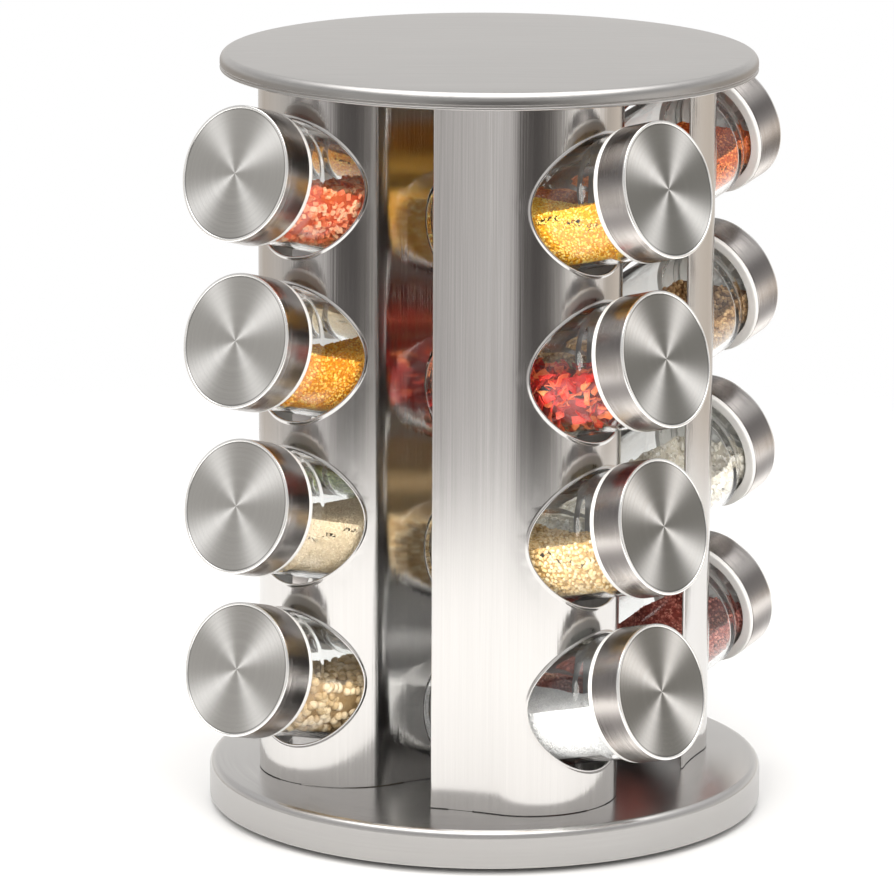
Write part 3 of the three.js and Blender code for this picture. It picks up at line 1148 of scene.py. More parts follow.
@dataclass
class SlottedDisc:
    """A flat round sheet with a slot for every tab of every column."""

    columns: list[Column]
    radius: float
    top: float
    sheet: float
    sides: int = 168
    clearance: float = 0.3 * MM
    slot_steps: int = 6

    def slots(self) -> list[list[Vector]]:
        """Outlines of the slots, seen from above."""
        found = []
        for column in self.columns:
            half = column.tab_length / 2 + self.clearance
            out = column.sheet / 2 + self.clearance
            for middle in column.tabs():
                shares = [step / self.slot_steps for step in range(self.slot_steps + 1)]
                ways = [middle - half + 2 * half * share for share in shares]
                loop = [column.wall(way, 0, out) for way in ways]
                loop += [column.wall(way, 0, -out) for way in reversed(ways)]
                found.append([(column.matrix @ point).to_2d() for point in loop])
        return found

    @staticmethod
    def _keep(_middle: Vector, loops: set[int]) -> bool:
        """True for a triangle that doesn't lie in a slot."""
        return not (len(loops) == 1 and min(loops) > 0)

    def shape(self, edge: Sequence[tuple[float, float]]) -> bmesh.types.BMesh:
        """Builds the disc.

        Args:
            edge: (radius, height) points that lead from the upper face round to the lower one.

        Returns:
            The closed surface.
        """
        rim = [Vector(point[:2]) for point in ring_of(self.radius, 0, self.sides)]
        points, faces, loops = triangulate([rim, *self.slots()], [], self._keep)
        shape = bmesh.new()
        upper = [shape.verts.new((*point, self.top)) for point in points]
        lower = [shape.verts.new((*point, self.top - self.sheet)) for point in points]
        for face in faces:
            shape.faces.new([upper[index] for index in face])
            shape.faces.new([lower[index] for index in reversed(face)])
        for loop in loops[1:]:
            bridge(shape, [[upper[index] for index in loop], [lower[index] for index in loop]])
        rings = [[upper[index] for index in loops[0]]]
        rings += [[shape.verts.new(p) for p in ring_of(r, z, self.sides)] for r, z in edge]
        rings.append([lower[index] for index in loops[0]])
        bridge(shape, rings)
        return shape


def quarter(
    centre: tuple[float, float], radius: float, start: float, end: float, steps: int = 7
) -> list[tuple[float, float]]:
    """Points of an arc in a profile.

    Args:
        centre: (radius, height) of the arc's middle.
        radius: the arc's own radius.
        start: first angle in degrees, from straight out towards up.
        end: last angle.
        steps: pieces of the arc.

    Returns:
        The points, both ends included.
    """
    angles = [math.radians(start + (end - start) * step / steps) for step in range(steps + 1)]
    return [(centre[0] + radius * math.cos(a), centre[1] + radius * math.sin(a)) for a in angles]


@dataclass
class Pan:
    """The round base that the columns stand on."""

    columns: list[Column]
    sheet: float = 1.0 * MM
    fillet: float = 3.0 * MM

    def build(self, material: bpy.types.Material) -> bpy.types.Object:
        """Builds the pan inside the frame's box for it."""
        low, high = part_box("base_pan")
        radius = high.x
        flat = radius - self.fillet
        hem = self.sheet / 2
        inner = self.fillet - self.sheet
        edge = quarter((flat, high.z - self.fillet), self.fillet, 80, 0)
        edge += quarter((radius - hem, low.z + hem), hem, 0, -180)
        edge += quarter((flat, high.z - self.fillet), inner, 0, 80)
        disc = SlottedDisc(self.columns, flat, high.z, self.sheet)
        mesh = closed_mesh(disc.shape(edge), "pan")
        return place_piece("pan_shell", mesh, "rack", ["base_pan"], material)


@dataclass
class Lid:
    """The round lid: a crowned cover over a flat plate that takes the columns' upper tabs."""

    columns: list[Column]
    sheet: float = 1.0 * MM
    crown: float = 0.8 * MM
    fillet: float = 3.0 * MM
    bead: float = 0.55 * MM
    groove: float = 0.7 * MM
    sides: int = 192

    def build(self, material: bpy.types.Material) -> list[bpy.types.Object]:
        """Builds the cover and the plate inside the frame's boxes for them."""
        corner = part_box("lid_plate")[1]
        hem = self.sheet / 2
        edge = quarter((corner.x - hem, corner.z - hem), hem, 80, -80)
        disc = SlottedDisc(self.columns, corner.x - hem, corner.z, self.sheet)
        plate = closed_mesh(disc.shape(edge), "plate")
        cover = closed_mesh(turned(self._cover_profile(), self.sides), "cover")
        return [
            place_piece("lid_cover", cover, "rack", ["top_lid"], material),
            place_piece("lid_tab_plate", plate, "rack", ["lid_plate"], material),
        ]

    def _cover_profile(self) -> list[tuple[float, float]]:
        """The cover's section: crown, round shoulder, groove and rolled lower edge."""
        low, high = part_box("top_lid")
        radius = high.x
        shoulder = high.z - self.crown
        flat = radius - self.fillet
        steps = 8
        outer = [
            (flat * step / steps, high.z - self.crown * (step / steps) ** 2) for step in range(steps)
        ]
        outer += quarter((flat, shoulder - self.fillet), self.fillet, 90, 0, 10)
        foot = low.z + 2 * self.bead
        depths = ((0.0, 1.2), (0.4, 0.7), (1.0, 0.3))
        outer += [(radius - self.groove * deep, foot + self.groove * up) for deep, up in depths]
        outer += quarter((radius - self.bead, low.z + self.bead), self.bead, 80, -180, 12)
        inner = radius - self.sheet
        outer += [(inner - 0.15 * MM, foot + self.groove)]
        outer += quarter((flat, shoulder - self.fillet), self.fillet - self.sheet, 0, 90)
        outer.append((0.0, high.z - self.sheet))
        return outer


@dataclass
class Swivel:
    """Foot, bearing and race under the pan."""

    ball_count: int = 12
    rivet_hole: float = 3.2 * MM
    rivet_shank: float = 2.8 * MM
    rivet_head: float = 1.4 * MM
    grip_bore: float = 79.0 * MM
    race_rim_top: float = 13.8 * MM
    race_pad: float = 30.0 * MM
    race_recess: float = 12.0 * MM
    race_floor: float = 11.0 * MM
    cage_inner: float = 50.0 * MM
    cage_outer: float = 58.0 * MM
    cage_thickness: float = 2.0 * MM
    edge: float = 0.4 * MM

    def build(
        self, black: bpy.types.Material, rubber: bpy.types.Material, steel: bpy.types.Material
    ) -> None:
        """Builds every piece of the swivel inside the frame's boxes for them."""
        self._washer("foot_grip", "foot_ring", "foot", rubber, self.grip_bore)
        self._washer("foot_plate", "foot_disc", "foot", black, self.rivet_hole)
        self._race(black)
        self._rivet(steel)
        self._bearing(black, steel)

    def _washer(
        self, name: str, node: str, body: str, material: bpy.types.Material, bore: float
    ) -> None:
        """A flat ring with softened edges."""
        low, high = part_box(node)
        corners = [
            Corner(bore, low.z, self.edge),
            Corner(high.x, low.z, self.edge),
            Corner(high.x, high.z, self.edge),
            Corner(bore, high.z, self.edge),
        ]
        mesh = closed_mesh(turned(rounded(corners), 128), name)
        place_piece(name, mesh, body, [node], material)

    def _race(self, material: bpy.types.Material) -> None:
        """The turning half: a rim round a raised pad with a recess for the rivet."""
        low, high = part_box("race_disc")
        corners = [
            Corner(self.rivet_hole, low.z, self.edge),
            Corner(high.x, low.z, self.edge),
            Corner(high.x, self.race_rim_top, self.edge),
            Corner(self.race_pad, self.race_rim_top, self.edge),
            Corner(self.race_pad, high.z, self.edge),
            Corner(self.race_recess, high.z, self.edge),
            Corner(self.race_recess, self.race_floor, self.edge),
            Corner(self.rivet_hole, self.race_floor, self.edge),
        ]
        mesh = closed_mesh(turned(rounded(corners), 128), "race")
        place_piece("race_plate", mesh, "rack", ["race_disc"], material)

    def _rivet(self, material: bpy.types.Material) -> None:
        """The rivet that is the swivel's axle, with a domed head at each end."""
        low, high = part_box("centre_rivet")
        head, shank, depth = high.x, self.rivet_shank, self.rivet_head
        corners = [
            Corner(0, low.z),
            Corner(head, low.z, depth * 0.8),
            Corner(head, low.z + depth, self.edge / 2),
            Corner(shank, low.z + depth, self.edge / 2),
            Corner(shank, high.z - depth, self.edge / 2),
            Corner(head, high.z - depth, self.edge / 2),
            Corner(head, high.z, depth * 0.8),
            Corner(0, high.z),
        ]
        mesh = closed_mesh(turned(rounded(corners), 48), "rivet")
        place_piece("swivel_rivet", mesh, "foot", ["centre_rivet"], material)

    def _bearing(self, black: bpy.types.Material, steel: bpy.types.Material) -> None:
        """The cage and its ring of balls."""
        low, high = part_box("ball_cage")
        middle = (low.z + high.z) / 2
        ball = (high.z - low.z) / 2
        inner, outer = self.cage_inner, self.cage_outer
        half = self.cage_thickness / 2
        corners = [
            Corner(inner, middle - half, self.edge),
            Corner(outer, middle - half, self.edge),
            Corner(outer, middle + half, self.edge),
            Corner(inner, middle + half, self.edge),
        ]
        cage = closed_mesh(turned(rounded(corners), 128), "cage")
        place_piece("bearing_cage", cage, "ball_cage", ["ball_cage"], black)
        tree = GeometryGraph("bearing_balls")
        count = tree.size("Ball Count", "Int", self.ball_count)
        circle = tree.size("Circle Radius", "Float", (outer + inner) / 2)
        radius = tree.size("Ball Radius", "Float", ball)
        ring = tree.node("GeometryNodeMeshCircle", {"Vertices": count, "Radius": circle})
        sphere = tree.node("GeometryNodeMeshIcoSphere", {"Radius": radius, "Subdivisions": 3})
        soft = tree.node("GeometryNodeSetShadeSmooth", {"Geometry": sphere})
        balls = tree.node("GeometryNodeInstanceOnPoints", {"Points": ring, "Instance": soft})
        lift = tree.node("GeometryNodeTransform", {"Geometry": balls, "Translation": (0, 0, middle)})
        mesh = tree.build(lift, steel, bpy.data.meshes.new("empty"))
        place_piece("bearing_balls", mesh, "ball_cage")


# ---- jars ---------------------------------------------------------------------------------------


class GrainForm(Enum):
    """Shape of a spice's single grain."""

    CRUMB = "crumb"
    CRYSTAL = "crystal"
    SEED = "seed"
    FLAKE = "flake"


@dataclass(frozen=True)
class Spice:
    """What one jar holds."""

    finish: SpiceFinish
    form: GrainForm
    grain: float
    cover: float = 1.5  # how many layers of grains lie over the surface
    bed_tint: float = 0.15
    level: float = 1.0 * MM  # how far the surface stands above the jar's axis, half way along


@dataclass
class JarSizes:
    """The glass jar, its cap and its liner, along +Z from the underside of the glass."""

    length: float = 95.0 * MM
    radius: float = 22.0 * MM
    wall: float = 2.0 * MM
    floor: float = 3.4 * MM
    heel: float = 4.4 * MM
    shoulder: float = 74.0 * MM
    neck_start: float = 79.0 * MM
    neck_radius: float = 19.4 * MM
    bore: float = 17.2 * MM
    mouth: float = 92.6 * MM
    cap_radius: float = 23.8 * MM
    cap_depth: float = 12.0 * MM
    cap_sheet: float = 0.5 * MM
    gap: float = 0.3 * MM
    liner_start: float = 81.0 * MM
    liner_wall: float = 3.0 * MM
    face_rim: float = 0.9 * MM
    face_sink: float = 0.25 * MM
    sides: int = 96


@dataclass
class JarMeshes:
    """Meshes that every jar shares, in the jar's own frame."""

    sizes: JarSizes

    def glass(self, material: bpy.types.Material) -> bpy.types.Mesh:
        """The glass with its pressed foot and screw thread."""
        s = self.sizes
        corners = [
            Corner(0, 1.0 * MM),
            Corner(12.5 * MM, 0.8 * MM, 2 * MM),
            Corner(15.5 * MM, 0, 1.2 * MM),
            Corner(s.radius, 0, s.heel),
            Corner(s.radius, s.shoulder, 4 * MM),
            Corner(s.neck_radius, s.neck_start, 1.5 * MM),
            Corner(s.neck_radius, s.mouth, 0.7 * MM),
            Corner(s.bore, s.mouth, 0.7 * MM),
            Corner(s.bore, s.neck_start, 3 * MM),
            Corner(s.radius - s.wall, s.shoulder - s.wall, 3 * MM),
            Corner(s.radius - s.wall, s.floor, 3.4 * MM),
            Corner(0, s.floor + 0.5 * MM),
        ]
        body = closed_mesh(turned(rounded(corners), s.sides), "glass")
        tree = GeometryGraph("screw_thread")
        turns = tree.size("Turns", "Float", 1.5)
        radius = tree.size("Neck Radius", "Float", s.neck_radius)
        rise = tree.size("Rise", "Float", 5.5 * MM)
        width = tree.size("Thread Radius", "Float", 0.5 * MM)
        spiral = tree.node(
            "GeometryNodeCurveSpiral",
            {
                "Resolution": 48,
                "Rotations": turns,
                "Start Radius": radius,
                "End Radius": radius,
                "Height": rise,
            },
        )
        lift = tree.node(
            "GeometryNodeTransform",
            {"Geometry": spiral, "Translation": (0, 0, s.neck_start + 4.5 * MM)},
        )
        section = tree.node("GeometryNodeCurvePrimitiveCircle", {"Resolution": 10, "Radius": width})
        rib = tree.node(
            "GeometryNodeCurveToMesh",
            {"Curve": lift, "Profile Curve": section, "Fill Caps": True},
        )
        both = tree.node("GeometryNodeJoinGeometry", {0: [rib, tree.start.outputs["Geometry"]]})
        return tree.build(both, material, body)

    def cap(self) -> bpy.types.Mesh:
        """The spun cap: sunk face, round rim, side and rolled lower edge."""
        s = self.sizes
        start = s.length - s.cap_depth
        inner = s.cap_radius - s.cap_sheet
        face = s.cap_radius - s.face_rim
        corners = [
            Corner(0, s.length - s.face_sink),
            Corner(face - 0.2 * MM, s.length - s.face_sink, 0.12 * MM),
            Corner(face, s.length, 0.15 * MM),
            Corner(s.cap_radius, s.length, 0.55 * MM),
            Corner(s.cap_radius, start, s.cap_sheet * 0.45),
            Corner(inner, start, s.cap_sheet * 0.45),
            Corner(inner, s.length - s.face_sink - s.cap_sheet, 0.3 * MM),
            Corner(0, s.length - s.face_sink - s.cap_sheet),
        ]
        return closed_mesh(turned(rounded(corners), s.sides), "cap")

    def liner(self) -> bpy.types.Mesh:
        """The moulded liner, with a flange that shows below the cap."""
        s = self.sizes
        outer = s.cap_radius - s.cap_sheet - s.gap
        inner = outer - s.liner_wall
        shell_start = s.length - s.cap_depth
        top = s.length - s.face_sink - s.cap_sheet - 0.15 * MM
        corners = [
            Corner(s.cap_radius - 0.1 * MM, s.liner_start, 0.5 * MM),
            Corner(s.cap_radius - 0.1 * MM, shell_start - 0.1 * MM, 0.3 * MM),
            Corner(outer, shell_start - 0.1 * MM, 0.1 * MM),
            Corner(outer, top, 0.4 * MM),
            Corner(0, top),
            Corner(0, s.mouth + 0.4 * MM),
            Corner(inner, s.mouth + 0.4 * MM, 0.4 * MM),
            Corner(inner, s.liner_start, 0.5 * MM),
        ]
        return closed_mesh(turned(rounded(corners), s.sides), "liner")

    def shaker(self, material: bpy.types.Material) -> bpy.types.Mesh:
        """The shaker insert: a thin plug with a ring of holes round one in the middle."""
        s = self.sizes
        skirt = 5 * MM
        plug = s.bore - 0.1 * MM
        corners = [
            Corner(0, s.mouth - 0.9 * MM),
            Corner(plug - 0.8 * MM, s.mouth - 0.9 * MM, 0.3 * MM),
            Corner(plug - 0.8 * MM, s.mouth - skirt, 0.3 * MM),
            Corner(plug, s.mouth - skirt, 0.3 * MM),
            Corner(plug, s.mouth + 0.03 * MM, 0.05 * MM),
            Corner(s.neck_radius - 0.6 * MM, s.mouth + 0.03 * MM, 0.1 * MM),
            Corner(s.neck_radius - 0.6 * MM, s.mouth + 0.33 * MM, 0.1 * MM),
            Corner(0, s.mouth + 0.33 * MM),
        ]
        body = closed_mesh(turned(rounded(corners, 3), 64), "shaker")
        tree = GeometryGraph("shaker_holes")
        count = tree.size("Hole Count", "Int", 8)
        circle = tree.size("Hole Circle", "Float", 9.5 * MM)
        radius = tree.size("Hole Radius", "Float", 1.7 * MM)
        ring = tree.node("GeometryNodeMeshCircle", {"Vertices": count, "Radius": circle})
        middle = tree.node("GeometryNodeMeshLine", {"Count": 1})
        spots = tree.node("GeometryNodeJoinGeometry", {0: [ring, middle]})
        drill = tree.node(
            "GeometryNodeMeshCylinder", {"Vertices": 24, "Radius": radius, "Depth": 8 * MM}
        )
        drills = tree.node("GeometryNodeInstanceOnPoints", {"Points": spots, "Instance": drill})
        up = tree.node("GeometryNodeTransform", {"Geometry": drills, "Translation": (0, 0, s.mouth)})
        cutters = tree.node("GeometryNodeRealizeInstances", {"Geometry": up})
        cut = tree.node(
            "GeometryNodeMeshBoolean",
            {"Mesh 1": tree.start.outputs["Geometry"], "Mesh 2": cutters},
            operation="DIFFERENCE",
            solver="EXACT",
        )
        return tree.build(cut, material, body)

    def bed(self, spice: Spice, tilt: float, seed: int) -> bpy.types.Mesh:
        """The heap that fills the jar's lower side up to a level surface.

        Args:
            spice: what the jar holds.
            tilt: how far the jar's axis rises, as an angle.
            seed: shifts the surface's small waves.

        Returns:
            The heap's closed surface, below the glass by half a grain.
        """
        s = self.sizes
        room = spice.grain * 0.45 + 0.1 * MM
        side = s.radius - s.wall - room
        floor = s.floor + 0.6 * MM + room
        end = 86 * MM
        stations = [(floor, side * share) for share in (0.0, 0.3, 0.6, 0.85)]
        stations += [(floor + 0.6 * MM, side * 0.96)]
        body_start, body_end = floor + 2.2 * MM, s.shoulder - 3 * MM
        parts = 30
        stations += [(body_start + (body_end - body_start) * i / parts, side) for i in range(parts + 1)]
        neck = s.bore - room
        stations += [(s.neck_start, neck), (end, neck), (end, neck * 0.6), (end, 0.0)]
        half_way = s.shoulder / 2
        rings = []
        shape = bmesh.new()
        count = 48
        for along, radius in stations:
            ring = []
            for index in range(count):
                angle = 2 * math.pi * index / count
                across = radius * math.sin(angle)
                up = radius * math.cos(angle)
                wave = noise.noise(Vector((along * 90, across * 90, seed * 7.3)))
                fall = (half_way - along) * math.tan(tilt)
                level = spice.level + fall + wave * 0.8 * MM
                lowest = -math.sqrt(max(radius * radius - across * across, 0.0))
                ring.append(shape.verts.new((-max(min(up, level), lowest), across, along)))
            rings.append(ring)
        bridge(shape, rings)
        return closed_mesh(shape, "bed")

    def heap(self, spice: Spice, material: bpy.types.Material, tilt: float, seed: int) -> bpy.types.Mesh:
        """The heap with single grains all over it.

        Args:
            spice: what the jar holds.
            material: the spice's material.
            tilt: how far the jar's axis rises.
            seed: number that sets where the grains lie.

        Returns:
            The heap's mesh in the jar's own frame.
        """
        tree = GeometryGraph("spice_grains")
        size = tree.size("Grain Size", "Float", spice.grain)
        density = tree.size("Grains per Area", "Float", spice.cover / spice.grain**2)
        chance = tree.size("Seed", "Int", seed)
        bed = tree.start.outputs["Geometry"]
        points = tree.node(
            "GeometryNodeDistributePointsOnFaces", {"Mesh": bed, "Density": density, "Seed": chance}
        )
        grain, low, high = self._grain(tree, spice.form)
        turn = tree.node(
            "FunctionNodeRandomValue",
            {"Min": (0.0, 0.0, 0.0), "Max": (math.tau,) * 3, "Seed": chance},
            data_type="FLOAT_VECTOR",
        )
        spread = tree.node(
            "FunctionNodeRandomValue",
            {"Min": low, "Max": high, "Seed": chance},
            data_type="FLOAT_VECTOR",
        )
        scale = tree.node("ShaderNodeVectorMath", {0: spread, "Scale": size}, operation="SCALE")
        placed = tree.node(
            "GeometryNodeInstanceOnPoints",
            {"Points": points, "Instance": grain, "Rotation": turn, "Scale": scale},
        )
        tint = tree.node(
            "FunctionNodeRandomValue", {"Min": 0.1, "Max": 1.0, "Seed": chance}, data_type="FLOAT"
        )
        tinted = tree.node(
            "GeometryNodeStoreNamedAttribute",
            {"Geometry": placed, "Name": TINT, "Value": tint},
            data_type="FLOAT",
            domain="INSTANCE",
        )
        bedded = tree.node(
            "GeometryNodeStoreNamedAttribute",
            {"Geometry": bed, "Name": TINT, "Value": spice.bed_tint},
            data_type="FLOAT",
            domain="POINT",
        )
        real = tree.node("GeometryNodeRealizeInstances", {"Geometry": tinted})
        both = tree.node("GeometryNodeJoinGeometry", {0: [real, bedded]})
        return tree.build(both, material, self.bed(spice, tilt, seed))

    @staticmethod
    def _grain(
        tree: GeometryGraph, form: GrainForm
    ) -> tuple[bpy.types.NodeSocket, tuple[float, ...], tuple[float, ...]]:
        """One grain, a unit across, and the least and greatest scale of its three sides."""
        if form is GrainForm.FLAKE:
            flat = tree.node(
                "GeometryNodeMeshGrid", {"Size X": 1.0, "Size Y": 0.7, "Vertices X": 4, "Vertices Y": 3}
            )
            place = tree.node("GeometryNodeInputPosition")
            wave = tree.node("ShaderNodeTexNoise", {"Vector": place, "Scale": 1.6})
            lift = tree.node("ShaderNodeCombineXYZ", {"Z": wave})
            bent = tree.node("GeometryNodeSetPosition", {"Geometry": flat, "Offset": lift})
            thick = tree.node(
                "GeometryNodeExtrudeMesh", {"Mesh": bent, "Offset Scale": 0.07, "Individual": False}
            )
            under = tree.node("GeometryNodeFlipFaces", {"Mesh": bent})
            both = tree.node("GeometryNodeJoinGeometry", {0: [thick, under]})
            merged = tree.node("GeometryNodeMergeByDistance", {"Geometry": both, "Distance": 1e-4})
            return merged, (0.5, 0.5, 0.7), (1.25, 1.2, 1.0)
        if form is GrainForm.CRYSTAL:
            block = tree.node("GeometryNodeMeshCube", {"Size": (0.85, 0.85, 0.85)})
            return block, (0.45, 0.4, 0.35), (1.15, 1.0, 0.9)
        rounds = 2 if form is GrainForm.SEED else 1
        ball = tree.node("GeometryNodeMeshIcoSphere", {"Radius": 0.5, "Subdivisions": rounds})
        if form is GrainForm.SEED:
            soft = tree.node("GeometryNodeSetShadeSmooth", {"Geometry": ball})
            return soft, (0.85, 0.82, 0.8), (1.05, 1.0, 1.0)
        return ball, (0.6, 0.55, 0.5), (1.25, 1.1, 1.0)


def mirrored(rays: Sequence[Ray]) -> tuple[Ray, ...]:
    """The same painted highlight wedges, seen in a mirror."""
    return tuple(Ray(-ray.degrees, ray.sharpness, ray.strength) for ray in rays)


@dataclass
class JarSet:
    """All sixteen jars with their caps, liners, inserts and spices."""

    places: list[JarPlace]
    spices: dict[tuple[int, int], Spice]
    # columns whose caps take the mirrored painted highlights and paler painted shade
    mirrored_highlight_columns: tuple[int, ...] = (3, 4)
    meshes: JarMeshes = field(default_factory=lambda: JarMeshes(JarSizes()))

    # Painted highlight wedges of the cap faces, by angle clockwise from the top of the face.
    PAINTED_FACE_HIGHLIGHTS = (Ray(-46, 16, 1.0), Ray(134, 16, 1.0), Ray(40, 22, 0.8), Ray(222, 24, 0.75))
    # Painted reflection bands of the cap sides, by angle clockwise from the top.
    PAINTED_SIDE_REFLECTIONS = (
        Ray(-150, 30, 0.7),
        Ray(-128, 50, 1.0),
        Ray(-89, 70, 0.75),
        Ray(-50, 60, 0.65),
        Ray(-12, 50, 0.5),
        Ray(28, 60, 0.6),
        Ray(66, 50, 0.9),
        Ray(104, 70, 0.7),
        Ray(140, 40, 0.9),
        Ray(180, 60, 0.6),
    )

    def build(self) -> None:
        """Builds and dresses every jar."""
        s = self.meshes.sizes
        glass = self.meshes.glass(ClearGlass().material())
        insert = self.meshes.shaker(Moulded("shaker_plastic", (0.82, 0.82, 0.8), 0.35).material())
        cap, liner = self.meshes.cap(), self.meshes.liner()
        pale = Moulded("liner_plastic", (0.8, 0.79, 0.77), 0.4).material()
        face_start = s.length - s.face_sink - 0.1 * MM
        face_radius = s.cap_radius - s.face_rim - 0.25 * MM
        # Two copies of the cap steel with painted highlights: the second has its painted wedges mirrored
        # and paler dark colours, which paint its caps as more brightly lit.
        steels = {
            False: TurnedCapSteel(
                "cap_steel", self.PAINTED_FACE_HIGHLIGHTS, self.PAINTED_SIDE_REFLECTIONS, face_start, face_radius, (0.22, 0.215, 0.2)
            ).material(),
            True: TurnedCapSteel(
                "cap_steel_mirrored_highlights",
                mirrored(self.PAINTED_FACE_HIGHLIGHTS),
                mirrored(self.PAINTED_SIDE_REFLECTIONS),
                face_start,
                face_radius,
                (0.42, 0.41, 0.39),
                side_dark=(0.34, 0.32, 0.31),
            ).material(),
        }
        finishes: dict[str, bpy.types.Material] = {}
        for number, place in enumerate(self.places):
            spice = self.spices[(place.column, place.row)]
            if spice.finish.name not in finishes:
                finishes[spice.finish.name] = spice.finish.material()
            jar_body = f"jar_{place.suffix}"
            cap_body = f"cap_{place.suffix}"
            tilt = math.asin(place.matrix.col[2].z)
            heap = self.meshes.heap(spice, finishes[spice.finish.name], tilt, number + 1)
            heap.transform(place.matrix)
            place_piece(f"spice_{place.suffix}", heap, jar_body)
            self._copy(glass, place, "glass", jar_body, "clear_glass", [f"jar_{place.suffix}"])
            self._copy(insert, place, "shaker", jar_body, "liner_plastic")
            steel = steels[place.column in self.mirrored_highlight_columns]
            shell = [f"cap_shell_{place.suffix}"]
            self._copy(cap, place, "cap", cap_body, "cap_steel", shell, steel)
            ring = [f"cap_liner_{place.suffix}"]
            self._copy(liner, place, "liner", cap_body, "liner_plastic", ring, pale)

    @staticmethod
    def _copy(
        mesh: bpy.types.Mesh,
        place: JarPlace,
        kind: str,
        body: str,
        slot: str,
        stands_for: Sequence[str] = (),
        material: bpy.types.Material | None = None,
    ) -> bpy.types.Object:
        """Puts one jar's copy of a shared mesh in place, with its own-frame attributes."""
        own = mesh.copy()
        names = (OWN_PLACE, SPOKE, AXLE)
        for name in names:
            own.attributes.new(name, "FLOAT_VECTOR", "POINT")
        where, spoke, axle = (own.attributes[name] for name in names)
        turn = place.matrix.to_3x3()
        for vertex in own.vertices:
            axle.data[vertex.index].vector = turn.col[2]
            where.data[vertex.index].vector = vertex.co
            spoke.data[vertex.index].vector = turn @ Vector((vertex.co.x, vertex.co.y, 0))
        own.transform(place.matrix)
        return place_piece(f"{kind}_{place.suffix}", own, body, stands_for, material)


def spice_rack() -> dict[tuple[int, int], Spice]:
    """What each jar holds, by column and row from the bottom."""
    pink = Spice(
        SpiceFinish(
            "pink_salt", (0.55, 0.06, 0.02), (0.92, 0.25, 0.11), (1.0, 0.6, 0.38), roughness=0.35, glow=0.15
        ),
        GrainForm.CRYSTAL,
        2.6 * MM,
        cover=1.5,
        bed_tint=0.1,
    )
    orange = Spice(
        SpiceFinish("orange_granules", (0.6, 0.18, 0.005), (0.95, 0.42, 0.02), (1.0, 0.75, 0.2)),
        GrainForm.CRUMB,
        1.15 * MM,
    )
    cream = Spice(
        SpiceFinish("cream_powder", (0.55, 0.43, 0.27), (0.76, 0.63, 0.44), (0.9, 0.8, 0.62)),
        GrainForm.CRUMB,
        0.8 * MM,
        cover=1.3,
        bed_tint=0.5,
    )
    seeds = Spice(
        SpiceFinish(
            "tan_seeds", (0.4, 0.26, 0.12), (0.7, 0.52, 0.3), (0.87, 0.73, 0.52), roughness=0.45
        ),
        GrainForm.SEED,
        3.6 * MM,
        cover=1.5,
        bed_tint=0.0,
    )
    yellow = Spice(
        SpiceFinish("yellow_grains", (0.68, 0.24, 0.005), (0.98, 0.55, 0.03), (1.0, 0.86, 0.3)),
        GrainForm.CRUMB,
        1.0 * MM,
    )
    chilli = Spice(
        SpiceFinish(
            "red_flakes", (0.3, 0.008, 0.006), (0.85, 0.04, 0.025), (1.0, 0.33, 0.12), roughness=0.3
        ),
        GrainForm.FLAKE,
        5.2 * MM,
        cover=2.4,
        bed_tint=0.05,
    )
    sesame = Spice(
        SpiceFinish(
            "pale_seeds", (0.45, 0.25, 0.07), (0.86, 0.62, 0.3), (1.0, 0.86, 0.58), roughness=0.5
        ),
        GrainForm.SEED,
        1.5 * MM,
        cover=1.4,
        bed_tint=0.15,
    )
    salt = Spice(
        SpiceFinish(
            "white_salt", (0.74, 0.74, 0.76), (0.86, 0.86, 0.87), (0.97, 0.97, 0.97), roughness=0.4
        ),
        GrainForm.CRUMB,
        0.7 * MM,
        cover=1.2,
        bed_tint=0.7,
    )
    paprika = Spice(
        SpiceFinish("paprika", (0.4, 0.06, 0.01), (0.72, 0.16, 0.03), (0.9, 0.36, 0.1)),
        GrainForm.CRUMB,
        1.0 * MM,
    )
    cumin = Spice(
        SpiceFinish("brown_seeds", (0.16, 0.08, 0.03), (0.35, 0.2, 0.09), (0.55, 0.38, 0.2)),
        GrainForm.SEED,
        1.8 * MM,
        cover=1.5,
        bed_tint=0.05,
    )
    onion = Spice(
        SpiceFinish("white_crumbs", (0.6, 0.55, 0.45), (0.84, 0.8, 0.72), (0.96, 0.94, 0.9)),
        GrainForm.CRYSTAL,
        2.2 * MM,
        cover=1.5,
        bed_tint=0.2,
    )
    sumac = Spice(
        SpiceFinish("dark_red_grains", (0.14, 0.02, 0.015), (0.34, 0.08, 0.06), (0.62, 0.26, 0.2)),
        GrainForm.CRUMB,
        1.3 * MM,
    )
    herb = Spice(
        SpiceFinish("green_herb", (0.06, 0.09, 0.02), (0.17, 0.22, 0.06), (0.36, 0.42, 0.16)),
        GrainForm.FLAKE,
        2.4 * MM,
        cover=2.0,
        bed_tint=0.05,
    )
    pepper = Spice(
        SpiceFinish(
            "black_pepper", (0.01, 0.008, 0.006), (0.05, 0.04, 0.03), (0.2, 0.16, 0.12), roughness=0.5
        ),
        GrainForm.SEED,
        3.2 * MM,
        cover=1.5,
        bed_tint=0.0,
    )
    rows = {
        1: (salt, sesame, chilli, yellow),
        2: (sumac, onion, cumin, paprika),
        3: (pepper, herb, cream, orange),
        4: (seeds, cream, orange, pink),
    }
    return {(column, row + 1): one for column, kinds in rows.items() for row, one in enumerate(kinds)}


# ---- studio -------------------------------------------------------------------------------------


